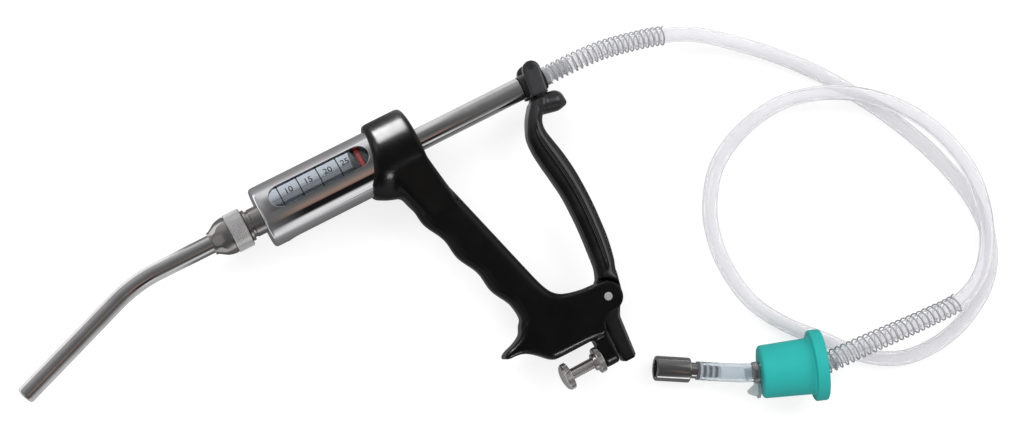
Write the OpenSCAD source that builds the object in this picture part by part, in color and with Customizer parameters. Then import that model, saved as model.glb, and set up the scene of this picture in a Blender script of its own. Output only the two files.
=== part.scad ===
// Livestock drencher: a hand-squeezed dosing gun with a sight barrel, its feed hose and its bottle stopper.
// The gun lies on its side. +X runs along the barrel from the nozzle to the rear, the grip points to -Y,
// and +Z is up, away from the surface that it lies on.
// Sub-parts are drawn in the gun's own frame, which has its zero at the centre of the barrel's front face.

/* [Barrel] */
// Bore of the dosing chamber
bore_d = 24.2; // [22:0.1:26]
// Wall of the glass cylinder
glass_wall = 2.2; // [1.5:0.1:2.6]
// Wall of the chromed sleeve round the glass
sleeve_wall = 1.9; // [1.2:0.1:2.4]
// Length of the sleeve, from its front face to its seat in the collar
barrel_len = 83; // [80:0.5:90]
// Lip at the front of the sleeve that holds the outlet cap
lip_t = 2; // [1.5:0.1:3]
// Radius of the sleeve's front edge
rim_r = 2; // [0.5:0.1:2.4]
// Width of a sight window
window_w = 12; // [6:0.1:14]
// Length of a sight window
window_len = 55; // [30:0.5:57]
// From the front face to the windows
window_front = 7; // [6:0.1:9]
// Number of sight windows round the sleeve
window_count = 3; // [1:1:3]
// Turn of the first window from straight up
window_turn = 20; // [0:1:60]
// Thickness of the rubber seal at each end of the glass
seal_t = 1.6; // [1:0.1:2.5]

/* [Outlet] */
// Diameter of the turned neck in front of the barrel
neck_d = 15; // [13:0.1:16]
// Length of neck that shows between the barrel and the lock ring
neck_len = 8.4; // [6:0.1:10]
// Length of thread inside the lock ring
thread_len = 6.5; // [5:0.1:7.5]
// Thickness of the outlet cap's flange behind the lip
outlet_flange_t = 3; // [2:0.1:4]
// Diameter of the port from the chamber
port_d = 4.2; // [3:0.1:5]
// Diameter of the valve balls
ball_d = 6.4; // [6:0.1:7]
// Diameter of the valve pockets
pocket_d = 8; // [7.6:0.1:9]
// Thickness of the valve cage
cage_t = 2; // [1:0.1:3]

/* [Nozzle] */
// Outer diameter of the nozzle tube
nozzle_d = 9.6; // [8:0.1:10]
// Wall of the nozzle tube
nozzle_wall = 1.7; // [1:0.1:2]
// Straight length in front of the lock ring
nozzle_straight = 29; // [20:1:60]
// Angle of the bend towards the grip side
nozzle_bend = 19.6; // [5:0.2:40]
// Radius of the bend at the tube's centre
nozzle_bend_r = 76; // [40:1:100]
// Straight length beyond the bend
nozzle_tip_len = 63.5; // [30:0.5:80]
// Diameter of the flange that the lock ring clamps
nozzle_flange_d = 14; // [12:0.1:14.6]
// Thickness of that flange
nozzle_flange_t = 2.2; // [1.5:0.1:3]
// Thickness of the washer behind the flange
washer_t = 1.4; // [1:0.1:2]
// Diameter of the lock ring's knurled band
ring_d = 20.4; // [19:0.1:24]
// Length of the knurled band
ring_len = 9; // [8:0.1:12]
// Length of the lock ring's domed nose
dome_len = 10.4; // [8:0.1:14]
// Diameter at the front of the nose
dome_nose_d = 12; // [11.4:0.1:14]

/* [Collar and grip] */
// Diameter of the collar
collar_d = 38.8; // [37:0.1:44]
// Depth of the barrel's seat in the collar
seat_depth = 17.5; // [12:0.5:19]
// Thickness of the collar's rear wall
collar_wall = 4.8; // [4:0.1:7]
// Radius of the collar's edges
collar_edge_r = 2.4; // [0.5:0.1:3]
// Thickness of the grip and foot
grip_t = 18; // [16:0.1:22]
// Front to back width of the grip at the collar
grip_w = 23.6; // [21:0.1:26]
// Front to back width of the grip at the foot
grip_low_w = 19.5; // [17:0.1:22]
// Rake of the grip's front edge
grip_rake = 18.4; // [17:0.1:20]
// Step from the collar's front face to the grip's front edge
grip_set = 0.6; // [0:0.1:3]
// Finger pitch along the grip
finger_pitch = 23; // [20:0.5:25]
// Depth of the finger grooves
finger_depth = 2; // [0.5:0.1:3]
// From the barrel's axis down to the lever pivot
pivot_drop = 116; // [110:0.5:124]
// From the barrel's front face back to the lever pivot
pivot_back = 138.8; // [136:0.2:142]
// Radius of the clevis ears
ear_r = 8.2; // [7:0.1:9]
// Width of the slot between the ears
slot_w = 9.4; // [8:0.1:10.5]
// Diameter of the pivot pin
pin_d = 4.6; // [4:0.1:5]

/* [Lever] */
// Rearward offset of the fork from the pivot at rest
fork_back = 17.6; // [15:0.1:19]
// Thickness of the lever's arm
arm_t = 13.4; // [11:0.1:16]
// Width of a fork prong
prong_w = 9.4; // [9:0.1:11]
// Thickness of a fork prong
prong_t = 4.2; // [4:0.1:5]
// Height of the prongs above the rod's axis
prong_top = 10.6; // [10.2:0.1:12]
// Radius of the thumb horn
horn_r = 5.1; // [4:0.1:6]
// Rearward reach of the thumb horn from the fork
horn_len = 11.6; // [8:0.1:14]
// Side to side spread of the thumb horn
horn_spread = 5.6; // [2:0.1:8]
// Length of the tail below the pivot
tail_drop = 34.5; // [33.5:0.5:40]

/* [Dose screw] */
// From the pivot down to the screw
dose_drop = 27.2; // [25:0.1:29]
// Diameter of the screw
dose_d = 6; // [5:0.1:7]
// Diameter of the screw's disc head
dose_head_d = 14.2; // [10:0.1:16]
// Thickness of the disc head
dose_head_t = 5; // [2:0.1:6]
// Length of thread between the head and the lock nut
dose_thread_len = 13.4; // [8:0.2:18]
// Diameter of the lock nut
dose_nut_d = 13.8; // [10:0.1:15]
// Thickness of the lock nut
dose_nut_t = 5; // [3:0.1:7]
// Thickness of the lug that the screw runs in
lug_t = 7.6; // [5:0.1:9]
// Diameter of the lug round the screw
lug_d = 11.6; // [10:0.1:13]

/* [Plunger] */
// Diameter of the plunger rod
rod_d = 12; // [10:0.1:12.6]
// Bore of the plunger rod
rod_bore_d = 5; // [3:0.1:5.4]
// Room between the piston at rest and the rear end of the barrel
piston_room = 10.6; // [9:0.1:14]
// Length of the piston
piston_len = 18; // [17:0.1:20]
// Section of the piston's O-rings
o_ring_t = 2.6; // [2:0.1:3]
// Diameter of the rod's threaded ends
rod_end_d = 9; // [8.6:0.1:9.4]
// Diameter of the crosshead on the rod's rear end
crosshead_d = 12.4; // [11.6:0.1:12.6]
// Diameter of the crosshead's trunnions
trunnion_d = 5.2; // [4:0.1:5.4]

/* [Hose] */
// Outer diameter of the hose
hose_d = 8; // [7:0.1:8.2]
// Wire of the guard springs
guard_wire = 0.8; // [0.7:0.05:1.2]
// Outer diameter of the guard spring at the gun
gun_guard_d = 10.6; // [10.4:0.1:12]
// Number of curls of the guard spring at the gun
gun_guard_curls = 22; // [10:1:26]
// Length of the guard spring at the gun
gun_guard_len = 68; // [50:1:72]
// Outer diameter of the stopper's guard spring at its free end
stopper_guard_d = 10.3; // [10:0.1:12]
// Outer diameter of the stopper's guard spring at the stopper
stopper_guard_end_d = 12; // [11:0.1:14]
// Number of curls of the stopper's guard spring
stopper_guard_curls = 22; // [10:1:26]
// Length of the stopper's guard spring
stopper_guard_len = 76; // [50:1:80]
// Outer diameter of the suction tube
suction_d = 9.8; // [9:0.1:11]

/* [Stopper] */
// Diameter of the stopper's flange
stopper_flange_d = 37.4; // [34:0.1:42]
// Thickness of the flange
stopper_flange_t = 6.4; // [4:0.1:9]
// Diameter of the plug at the flange
stopper_top_d = 29.8; // [28:0.1:32]
// Diameter of the plug at its small end
stopper_end_d = 27.8; // [24:0.1:29]
// Length of the plug
stopper_plug_len = 27; // [20:0.1:34]
// Diameter of the pipe through the stopper
stopper_pipe_d = 5.6; // [4.5:0.1:6]
// Diameter of the suction sinker
sinker_d = 13.2; // [12:0.1:15]
// Length of the sinker
sinker_len = 18.5; // [14:0.1:24]
// Bore of the sinker's open end
sinker_bore_d = 9; // [7:0.1:10]
// Depth of that bore
sinker_bore_len = 11; // [6:0.1:13]

/* [Hidden] */
$fn = 48;

// Clearances: a running fit, a gap between moving pieces, and the overrun of a cut
run_fit = 0.05;
move_gap = 0.3;
cut = 1;
hull_fn = 24;
wire_sides = 6;

// Barrel
glass_d = bore_d + 2 * glass_wall;
barrel_d = glass_d + 2 * sleeve_wall;
collar_front = barrel_len - seat_depth;
collar_rear = barrel_len + collar_wall;
collar_mid_r = collar_d / 2 - collar_edge_r;
glass_front = lip_t + outlet_flange_t + seal_t;
glass_rear = barrel_len - seal_t;
arc_steps = 5;

// Outlet and its valve
neck_front = -neck_len - thread_len;
seat_x = -0.5 * lip_t;
valve_fit = 0.05;
valve_wire = 0.6;
valve_spring_d = 5.2;
valve_spring_curls = 3;
ball_touch_share = 0.38;
outlet_ball_x = seat_x - valve_fit - sqrt(pow(ball_d, 2) - pow(port_d, 2)) / 2;
cage_hole_d = 3;

// Lock ring and nozzle
ring_rear = -neck_len;
ring_front = ring_rear - ring_len;
dome_front = ring_front - dome_len;
washer_rear = neck_front - move_gap;
flange_rear = washer_rear - washer_t;
flange_front = flange_rear - nozzle_flange_t;
dome_shares = [[0, 0], [0.1, 0.3], [0.28, 0.6], [0.5, 0.82], [0.75, 0.95], [1, 1]];
nozzle_bore_d = nozzle_d - 2 * nozzle_wall;
bend_start = dome_front - nozzle_straight;
bend_lap = 0.8;
bend_step = 0.06;
tip_x = bend_start - nozzle_bend_r * sin(nozzle_bend) - nozzle_tip_len * cos(nozzle_bend);
tip_y = -nozzle_bend_r * (1 - cos(nozzle_bend)) - nozzle_tip_len * sin(nozzle_bend);

// Rod bush in the collar's rear wall
bush_wall = 2.5;
wiper_wall = 1.5;
bush_d = rod_d + 2 * bush_wall;
wiper_d = rod_d + 2 * wiper_wall;
wiper_t = 1.8;

// Lever pivot and foot
pivot_x = pivot_back;
pivot_y = -pivot_drop;
ear_step = 0.2;
slot_reach = ear_r + ear_step;
lug_rear = pivot_x - slot_reach - ear_step;
lug_front = lug_rear - lug_t;
dose_y = pivot_y - dose_drop;
foot_drop = 16.6;
hub_t = slot_w - 2 * move_gap;
hub_r = ear_r - ear_step;
pin_len = grip_t + 2 * ear_step;

// Lever and fork
lever_reach = pivot_drop;
fork_x = pivot_x + fork_back;
rest_lean = atan(fork_back / lever_reach);
fork_gap = crosshead_d + 2 * move_gap;
prong_skin = 1.4;
trunnion_len = fork_gap + 2 * (prong_t - prong_skin);
groove_play = 0.7;
groove_w = trunnion_d + 2 * groove_play;
groove_low = 4.8;
fork_root = 8.8;
screw_d = 2.8;
screw_up = 7.7;
screw_proud = 0.4;
tail_w = 7.6;
tail_gap = 0.8;
tail_edge = 1.4;

// Return spring on the pivot pin
return_wire = 1;
return_coil_d = 8.6;
return_curls = 1.25;
return_pitch = 1.6;
return_leg = 11;
return_z = 1;
return_room = 0.4;
leg_reach = 10.6;
return_r = (return_coil_d - return_wire) / 2;
leg_room = return_wire + 2 * return_room;
leg_sweep = 24;
leg_step = 0.1;
leg_edges = [return_r + leg_room / 2, return_r - leg_room / 2];
leg_path = [[0, -leg_edges[0]], [-2 * hub_r, -leg_edges[0]],
            [-2 * hub_r * cos(leg_sweep) - leg_edges[1] * sin(leg_sweep),
             2 * hub_r * sin(leg_sweep) - leg_edges[1] * cos(leg_sweep)],
            [-leg_edges[1] * sin(leg_sweep), -leg_edges[1] * cos(leg_sweep)]];

// Plunger
piston_rear = barrel_len - piston_room;
piston_front = piston_rear - piston_len;
piston_clear = 0.08;
cap_d = 12;
cap_t = 2.5;
rod_seat_len = 7;
rod_nose = piston_rear - rod_seat_len;
inlet_ball_x = rod_nose - valve_fit - sqrt(pow(ball_d, 2) - pow(rod_bore_d, 2)) / 2;
o_ring_land = 1.5;
o_ring_places = [piston_front + o_ring_land + o_ring_t / 2, piston_rear - 2 * o_ring_t];
o_ring_mid_r = bore_d / 2 - run_fit - o_ring_t / 2;
o_ring_slack = 0.2;
o_ring_room = o_ring_t / 2 + o_ring_slack;
crosshead_len = 13;
crosshead_front = fork_x - crosshead_len / 2;
crosshead_rear = fork_x + crosshead_len / 2;
rod_stub_len = 7;
barb_spigot_d = 7;
barb_spigot_len = 4;
spigot_front = crosshead_rear - barb_spigot_len;
barb_flange_d = 10;
barb_flange_t = 2.6;
barb_bore_d = 3.4;
barb_d = 6.4;
barb_pitch = 3;
barb_count = 4;
barb_share = 0.84;
hose_start = crosshead_rear + barb_flange_t;

// Stopper: it lies across the hose
stopper_len = stopper_flange_t + stopper_plug_len;
stopper_tilt = 9;
stopper_lift = 2.2;
stopper_up = stopper_lift + stopper_flange_d / 2 * cos(stopper_tilt) + stopper_flange_t * sin(stopper_tilt);
stopper_yaw = 159.5;
stopper_edge = 1.2;
pipe_proud = 8;
pipe_wall = 0.9;
axis_up = collar_d / 2;

// Route of the hose from the gun to the stopper: along, across and up from the surface it lies on
stopper_at = [225.8, -201, stopper_up];
stopper_dir = [cos(stopper_yaw) * cos(stopper_tilt), sin(stopper_yaw) * cos(stopper_tilt),
               -sin(stopper_tilt)];
hose_route = [
    [hose_start, 0, axis_up], [182, 0, axis_up], [198, -1, 19], [215, -4, 17], [231, -8, 15], [246, -14, 13],
    [259, -22, 10], [281, -40, 6], [302, -62, 4], [316, -82, 4], [329, -104, 4], [340, -128, 4],
    [347, -151, 4], [349.5, -168, 4], [348.5, -184, 4], [342.5, -198.5, 4], [332, -210, 4], [318, -218, 4],
    [304, -222.6, 4], [289, -224, 4], [274, -222, 4], [260.6, -215.6, 4], [248.4, -205.2, 4], [237.4, -192, 4],
    [226, -179.6, 4], [217.2, -167.2, 4], [211, -154, 4], [208.2, -138, 4], [208.8, -121, 4], [214.5, -102.5, 4],
    [228.5, -84, 4], [249, -73, 5], [273, -69, 8], [294, -73, 11], [312, -82, 13], [329, -96, 13],
    [342, -114, 13], [350, -135, 13], [352, -155, 13], [347.5, -175.5, 13], [338, -192.5, 14],
    [325, -203.2, 15], [309.5, -207.6, 16.5], [289, -206.6, 18.6], [268, -204.6, 20.6], [247, -202.6, 22],
    stopper_at];
hose_sides = 10;
route_steps = 2;
lead_points = 5;

// Suction side: the pipe's end at the stopper, the tube, and the fitting that lies on the surface
suction_from = stopper_at + stopper_len * stopper_dir;
sinker_yaw = 149;
sinker_dir = [cos(sinker_yaw), sin(sinker_yaw), 0];
suction_to = [167, -174, sinker_d / 2];
suction_pull = 9;
suction_rings = 7;
suction_sides = 12;
fitting_neck_d = 8.4;
fitting_neck_len = 4;
fitting_bore_d = 3.6;
fitting_barb_d = 6.8;
fitting_barb_pitch = 3.2;
sinker_edge = 0.8;
strainer_t = 1.2;
strainer_holes = 6;
strainer_hole_d = 1.6;
clip_at = 5;
clip_w = 4;
clip_t = 0.9;
clip_ear = 7;
clip_ear_t = 3.4;
clip_turn = -95;

// The object's zero: the middle of the gun on the surface that it lies on
gun_rear = hose_start + barb_count * barb_pitch;
mid_x = (tip_x + gun_rear) / 2;
mid_y = (collar_d / 2 + pivot_y - tail_drop) / 2;

// Geometry helpers

function unit(v) = v / norm(v);
function flat(lists) = [for (list = lists) each list];

// Points of an arc about a centre
function arc(centre, r, from, to, steps) =
    [for (i = [0:steps]) let (a = from + (to - from) * i / steps) centre + r * [cos(a), sin(a)]];

// Closed outline with each corner cut to a quarter and three quarters of its sides
function corner_cut(p) = flat([for (i = [0:len(p) - 1])
    let (q = p[(i + 1) % len(p)]) [0.75 * p[i] + 0.25 * q, 0.25 * p[i] + 0.75 * q]]);

// A smooth curve through points, by the cubic of four neighbours
function curve_at(p, i, t) =
    let (a = p[max(i - 1, 0)], b = p[i], c = p[i + 1], d = p[min(i + 2, len(p) - 1)])
    (2 * b + (c - a) * t + (2 * a - 5 * b + 4 * c - d) * t * t + (3 * b - a - 3 * c + d) * t * t * t) / 2;
function curve(p, steps) =
    concat([for (i = [0:len(p) - 2]) for (j = [0:steps - 1]) curve_at(p, i, j / steps)], [p[len(p) - 1]]);
function heading(p, i) = unit(p[min(i + 1, len(p) - 1)] - p[max(i - 1, 0)]);
function lengths(p, i = 0, sum = 0) =
    i == len(p) - 1 ? [sum] : concat([sum], lengths(p, i + 1, sum + norm(p[i + 1] - p[i])));

// Ring of points round a centre, across a direction
function ring(centre, along, side, r, sides) =
    let (b = unit(cross(along, side)), n = cross(b, along))
    [for (k = [0:sides - 1]) centre + r * (cos(360 * k / sides) * n + sin(360 * k / sides) * b)];

// Closed skin over rings of equal count, with triangle fans at its two ends
module skin(rings) {
    m = len(rings[0]);
    last = (len(rings) - 1) * m;
    sides = [for (i = [0:len(rings) - 2]) for (k = [0:m - 1])
        let (a = i * m + k, b = i * m + (k + 1) % m) each [[a, b + m, b], [a, a + m, b + m]]];
    ends = [for (k = [1:m - 2]) each [[0, k, k + 1], [last, last + k + 1, last + k]]];
    polyhedron(flat(rings), concat(sides, ends));
}

// Round bar along X, and a turned shape whose profile is [radius, place along X]
module x_bar(from, to, d) translate([from, 0, 0]) rotate([0, 90, 0]) cylinder(d = d, h = to - from);
module x_turned(profile) rotate([0, 90, 0]) rotate_extrude() polygon(profile);
module x_pipe(from, to, outer, inner) difference() {
    x_bar(from, to, outer);
    x_bar(from - cut, to + cut, inner);
}
module place() translate([-mid_x, -mid_y, axis_up]) children();
module on_surface() translate([-mid_x, -mid_y, 0]) children();
module at_pivot() translate([pivot_x, pivot_y, 0]) children();
module at_fork() translate([fork_x, 0, 0]) rotate([0, 0, -rest_lean]) children();
module at_stopper() translate(stopper_at) rotate([0, stopper_tilt, stopper_yaw]) children();
module at_fitting() translate(suction_to) rotate([0, 0, sinker_yaw]) children();

// Springs: wire along a helix about a straight or curved axis

// Points of a helix about the X axis
function x_helix(from, to, coil_d, wire, curls) = [for (i = [0:8 * curls])
    let (a = 360 * i / 8, t = i / (8 * curls))
    [from + wire / 2 + (to - from - wire) * t, (coil_d - wire) / 2 * cos(a), (coil_d - wire) / 2 * sin(a)]];
module x_spring(from, to, coil_d, wire, curls) {
    path = x_helix(from, to, coil_d, wire, curls);
    skin([for (i = [0:len(path) - 1])
        ring(path[i], heading(path, i), [0, path[i].y, path[i].z], wire / 2, wire_sides)]);
}

// Points along a route at a given length from its start
fine_route = curve(hose_route, 6);
fine_lengths = lengths(fine_route);
hose_len = fine_lengths[len(fine_lengths) - 1];
function route_at(s) = [for (k = [0:2]) lookup(s, [for (i = [0:len(fine_route) - 1])
    [fine_lengths[i], fine_route[i][k]]])];

// Helix of wire round the hose as [point, outward direction], with ends that run straight for one wire
function guard_path(from, to, d_from, d_to, curls) =
    let (n = 8 * curls, helix = [for (i = [0:n])
        let (t = i / n, s = from + (to - from) * t, r = (d_from + (d_to - d_from) * t - guard_wire) / 2,
             along = unit(route_at(s + hose_d / 8) - route_at(s - hose_d / 8)),
             b = unit(cross(along, [0, 0, 1])), c = cross(b, along), out = cos(45 * i) * c + sin(45 * i) * b)
        [route_at(s) + r * out, out]])
    concat([[helix[0][0] + guard_wire * unit(helix[0][0] - helix[1][0]), helix[0][1]]], helix,
           [[helix[n][0] + guard_wire * unit(helix[n][0] - helix[n - 1][0]), helix[n][1]]]);
function least_gap(path) = min([for (i = [0:len(path) - 7]) for (j = [i + 6:len(path) - 1])
    norm(path[i][0] - path[j][0])]) - guard_wire;
module guard(path) let (points = [for (place = path) place[0]])
    skin([for (i = [0:len(path) - 1])
        ring(points[i], heading(points, i), path[i][1], guard_wire / 2, wire_sides)]);

gun_guard_path = guard_path(guard_wire, guard_wire + gun_guard_len, gun_guard_d, gun_guard_d,
                            gun_guard_curls);
stopper_guard_path = guard_path(hose_len - guard_wire - stopper_guard_len, hose_len - guard_wire,
                                stopper_guard_d, stopper_guard_end_d, stopper_guard_curls);
echo(gun_guard_least_gap = least_gap(gun_guard_path));
echo(stopper_guard_least_gap = least_gap(stopper_guard_path));
echo(hose_length = hose_len);

// Handle casting: collar, grip, foot with the clevis ears, and the dose lug

grip_top_shares = [0.18, 0.42];
finger_count = 3;
finger_steps = 8;
finger_start = collar_d / 2 + 0.4 * finger_pitch;
foot_top = pivot_y + 1.27 * ear_r;
foot_bottom = pivot_y - foot_drop;
foot_height = foot_top - foot_bottom;
grip_drop = -foot_top - collar_d / 2;
function grip_front(drop) = collar_front + grip_set + tan(grip_rake) * (drop - collar_d / 2);
function grip_rear(drop) =
    grip_front(drop) + grip_w + (grip_low_w - grip_w) * (drop - collar_d / 2) / grip_drop;
hook_x = grip_front(-foot_top);

// Front edge of the grip, with a ridge between each two fingers
grip_front_edge = [for (i = [0:finger_count * finger_steps])
    let (drop = finger_start + finger_pitch * i / finger_steps)
    [grip_front(drop) + finger_depth / 2 * cos(360 * i / finger_steps), -drop]];

hook_shares = [[-0.02, 0.02], [-0.15, 0.1], [-0.2, 0.2], [-0.27, 0.28], [-0.53, 0.375], [-0.8, 0.44],
               [-0.9, 0.51], [-0.8, 0.53], [-0.58, 0.5], [-0.35, 0.55], [-0.1, 0.7], [0.17, 0.96], [0.3, 1]];
grip_rear_shares = [0.9, 0.7, 0.5, 0.3, 0.1];

handle_outline = concat(
    [[collar_front + collar_edge_r, -collar_d * grip_top_shares[0]],
     [collar_front + collar_edge_r, -collar_d * grip_top_shares[1]]],
    grip_front_edge,
    [for (share = hook_shares) [hook_x + grip_low_w * share[0], foot_top - foot_height * share[1]]],
    [[lug_front, foot_bottom], [lug_rear, foot_bottom], [lug_rear + 0.1 * ear_r, pivot_y - 1.35 * ear_r],
     [lug_rear + 0.5 * ear_r, pivot_y - 1.06 * ear_r]],
    arc([pivot_x, pivot_y], ear_r, -85, 95, 10),
    [[pivot_x - ear_r, pivot_y + 1.06 * ear_r], [hook_x + 1.45 * grip_low_w, foot_top],
     [hook_x + 1.09 * grip_low_w, foot_top + 0.13 * grip_low_w]],
    [for (share = grip_rear_shares) let (drop = collar_d / 2 + grip_drop * share) [grip_rear(drop), -drop]],
    [[collar_rear, -collar_d * grip_top_shares[1]],
     [collar_rear - collar_edge_r, -collar_d * grip_top_shares[0]]]);
handle_curve = corner_cut(handle_outline);

// Chin in front of the collar, under the barrel
chin_d = 15.2;
chin_w = 24;
chin_set = 2.1;
chin_drop = 13.4;

// Cuts that round the grip's two long edges, on both of its sides
grip_edge = 6;
edge_turns = [30, 60];
edge_shares = [0.09, 0.94];
function edge_drop(share) = collar_d / 2 + grip_drop * share;
module edge_cuts(line) let (from = line[0], to = line[1]) for (side = [0, 1]) for (turn = edge_turns)
    mirror([0, 0, side]) translate([from.x, from.y, grip_t / 2 - grip_edge])
        rotate([0, 0, atan2(to.y - from.y, to.x - from.x)]) translate([0, grip_edge, 0]) rotate([turn, 0, 0])
            translate([0, -2 * grip_edge, grip_edge]) cube([norm(to - from), 4 * grip_edge, 2 * grip_edge]);

module handle_casting() color([0.05, 0.05, 0.05]) place() difference() {
    union() {
        x_turned(concat(
            arc([collar_mid_r, collar_front + collar_edge_r], collar_edge_r, 0, -90, arc_steps),
            [[0, collar_front], [0, collar_rear]],
            arc([collar_mid_r, collar_rear - collar_edge_r], collar_edge_r, 90, 0, arc_steps)));
        translate([0, 0, -grip_t / 2]) linear_extrude(grip_t) polygon(handle_curve);
        translate([collar_front - chin_set, -chin_drop, -chin_w / 2]) cylinder(d = chin_d, h = chin_w);
        translate([lug_front, dose_y, 0]) rotate([0, 90, 0]) linear_extrude(lug_t) {
            circle(d = lug_d);
            translate([-lug_d / 2, 0]) square([lug_d, foot_bottom + grip_edge - dose_y]);
        }
    }
    x_bar(collar_front - collar_d, barrel_len, barrel_d);
    x_bar(barrel_len - cut, collar_rear + cut, bush_d);
    x_bar(collar_rear, fork_x, barrel_d);
    at_pivot() {
        translate([0, 0, -grip_t]) cylinder(d = pin_d, h = 2 * grip_t);
        translate([-slot_reach, -pivot_drop / 2, -slot_w / 2]) cube([pivot_drop, pivot_drop, slot_w]);
        translate([-slot_reach - return_leg, -return_r, return_z]) x_bar(0, return_leg + cut, leg_room);
    }
    translate([0, dose_y, 0]) x_bar(lug_front - cut, lug_rear + cut, dose_d + 2 * run_fit);
    edge_cuts([for (i = [0, 1]) [grip_front(edge_drop(edge_shares[i])), -edge_drop(edge_shares[i])]]);
    edge_cuts([for (i = [1, 0]) [grip_rear(edge_drop(edge_shares[i])), -edge_drop(edge_shares[i])]]);
}

// Barrel and outlet

module window(turn) rotate([turn, 0, 0]) {
    for (x = [window_front + window_w / 2, window_front + window_len - window_w / 2])
        translate([x, 0, 0]) cylinder(d = window_w, h = barrel_d);
    translate([window_front + window_w / 2, -window_w / 2, 0])
        cube([window_len - window_w, window_w, barrel_d]);
}

module barrel_sleeve() color([0.8, 0.81, 0.83]) place() difference() {
    x_turned(concat([[neck_d / 2 + run_fit, 0]],
                    arc([barrel_d / 2 - rim_r, rim_r], rim_r, -90, 0, arc_steps),
                    [[barrel_d / 2, barrel_len], [glass_d / 2, barrel_len], [glass_d / 2, lip_t],
                     [neck_d / 2 + run_fit, lip_t]]));
    for (i = [0:window_count - 1])
        window(-window_turn + 360 / window_count * i);
}

module glass_cylinder() color([0.85, 0.92, 0.95, 0.4]) place()
    x_pipe(glass_front, glass_rear, glass_d, bore_d);
module front_seal() color([0.15, 0.15, 0.15]) place()
    x_pipe(lip_t + outlet_flange_t, glass_front, glass_d, bore_d);
module rear_seal() color([0.15, 0.15, 0.15]) place()
    x_pipe(glass_rear, barrel_len, glass_d, bore_d);

module outlet_cap() color([0.7, 0.71, 0.73]) place() difference() {
    union() {
        x_bar(neck_front, lip_t + outlet_flange_t, neck_d);
        x_bar(lip_t, lip_t + outlet_flange_t, glass_d);
    }
    x_bar(neck_front - cut, lip_t + outlet_flange_t + cut, port_d);
    x_bar(neck_front - cut, seat_x, pocket_d);
}

module outlet_valve_cage() color([0.75, 0.65, 0.4]) place()
    x_pipe(neck_front, neck_front + cage_t, pocket_d, cage_hole_d);
module outlet_valve_ball() color([0.75, 0.75, 0.78]) place()
    translate([outlet_ball_x, 0, 0]) sphere(d = ball_d);
module outlet_valve_spring() color([0.7, 0.7, 0.72]) place()
    x_spring(neck_front + cage_t, outlet_ball_x - ball_touch_share * ball_d, valve_spring_d, valve_wire,
             valve_spring_curls);

// Nozzle and its lock ring

// Round bar that follows the nozzle from behind its flange to its tip
module nozzle_run(d, rear, tip) {
    x_bar(bend_start, rear, d);
    translate([bend_start, -nozzle_bend_r, 0]) rotate([0, 0, 90]) rotate_extrude(angle = nozzle_bend)
        translate([nozzle_bend_r, 0]) circle(d = d);
    translate([tip_x, tip_y, 0]) rotate([0, 0, nozzle_bend])
        x_bar(tip, nozzle_tip_len + bend_lap, d + bend_step);
}

module nozzle() color([0.8, 0.81, 0.83]) place() difference() {
    union() {
        nozzle_run(nozzle_d, flange_rear, nozzle_wall / 2);
        x_bar(flange_front, flange_rear, nozzle_flange_d);
        translate([tip_x, tip_y, 0]) rotate([0, 0, nozzle_bend])
            x_turned(concat([[0, nozzle_wall / 2], [0, 0]],
                arc([(nozzle_d + bend_step - nozzle_wall) / 2, nozzle_wall / 2], nozzle_wall / 2, -90, 0,
                    arc_steps)));
    }
    nozzle_run(nozzle_bore_d, flange_rear + cut, -cut);
}

module nozzle_washer() color([0.2, 0.2, 0.2]) place()
    x_pipe(flange_rear, washer_rear, nozzle_flange_d, nozzle_bore_d);

module nozzle_lock_ring() color([0.72, 0.73, 0.74]) place() difference() {
    x_turned(concat([[0, ring_rear], [0, dome_front]],
                    [for (share = dome_shares)
                        [(dome_nose_d + (ring_d - dome_nose_d) * share[1]) / 2,
                         dome_front + dome_len * share[0]]],
                    [[ring_d / 2, ring_rear]]));
    x_bar(dome_front - cut, ring_rear + cut, nozzle_d + 2 * run_fit);
    x_bar(flange_front - move_gap, ring_rear + cut, neck_d + 2 * run_fit);
}

// Rod bush and wiper, and the pivot pin

module rod_bush() color([0.75, 0.65, 0.4]) place() difference() {
    x_pipe(barrel_len, collar_rear, bush_d, rod_d + 2 * run_fit);
    x_bar(barrel_len + collar_wall / 2 - wiper_t / 2, barrel_len + collar_wall / 2 + wiper_t / 2, wiper_d);
}
module rod_wiper() color([0.15, 0.15, 0.15]) place()
    x_pipe(barrel_len + collar_wall / 2 - wiper_t / 2, barrel_len + collar_wall / 2 + wiper_t / 2, wiper_d,
           rod_d + 2 * run_fit);
module pivot_pin() color([0.6, 0.6, 0.6]) place() at_pivot() translate([0, 0, -pin_len / 2])
    cylinder(d = pin_d, h = pin_len);

// Lever: hub and tail between the ears, channelled arm, fork and thumb horn

// Height, front edge, rear edge, all from the pivot as shares of the lever's reach, then the arm's
// thickness as a share of its own, and the depth of the side channels
arm_shares = [[0.098, 0.006, 0.103, 0.96, 0], [0.11, 0.009, 0.107, 1, 0], [0.138, 0.017, 0.116, 1, 0.6],
              [0.224, 0.026, 0.133, 1, 1], [0.31, 0.033, 0.141, 1, 1], [0.397, 0.036, 0.146, 1, 1],
              [0.483, 0.035, 0.146, 1, 1], [0.569, 0.025, 0.142, 1, 1], [0.655, 0.013, 0.131, 1, 1],
              [0.724, 0.007, 0.117, 0.96, 1], [0.784, 0.012, 0.106, 0.94, 0.6], [0.828, 0.03, 0.113, 1, 0],
              [0.871, 0.054, 0.144, 1.3, 0], [0.922, 0.094, 0.181, 1.59, 0]];
channel_share = 0.22;
half_section_shares = [[-1, 0.4, 0], [-0.92, 0.84, 0], [-0.72, 1, 0], [-0.5, 1, 0], [-0.36, 1, 1],
                       [0.26, 1, 1], [0.42, 1, 0], [0.7, 1, 0], [0.92, 0.84, 0], [1, 0.4, 0]];
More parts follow.
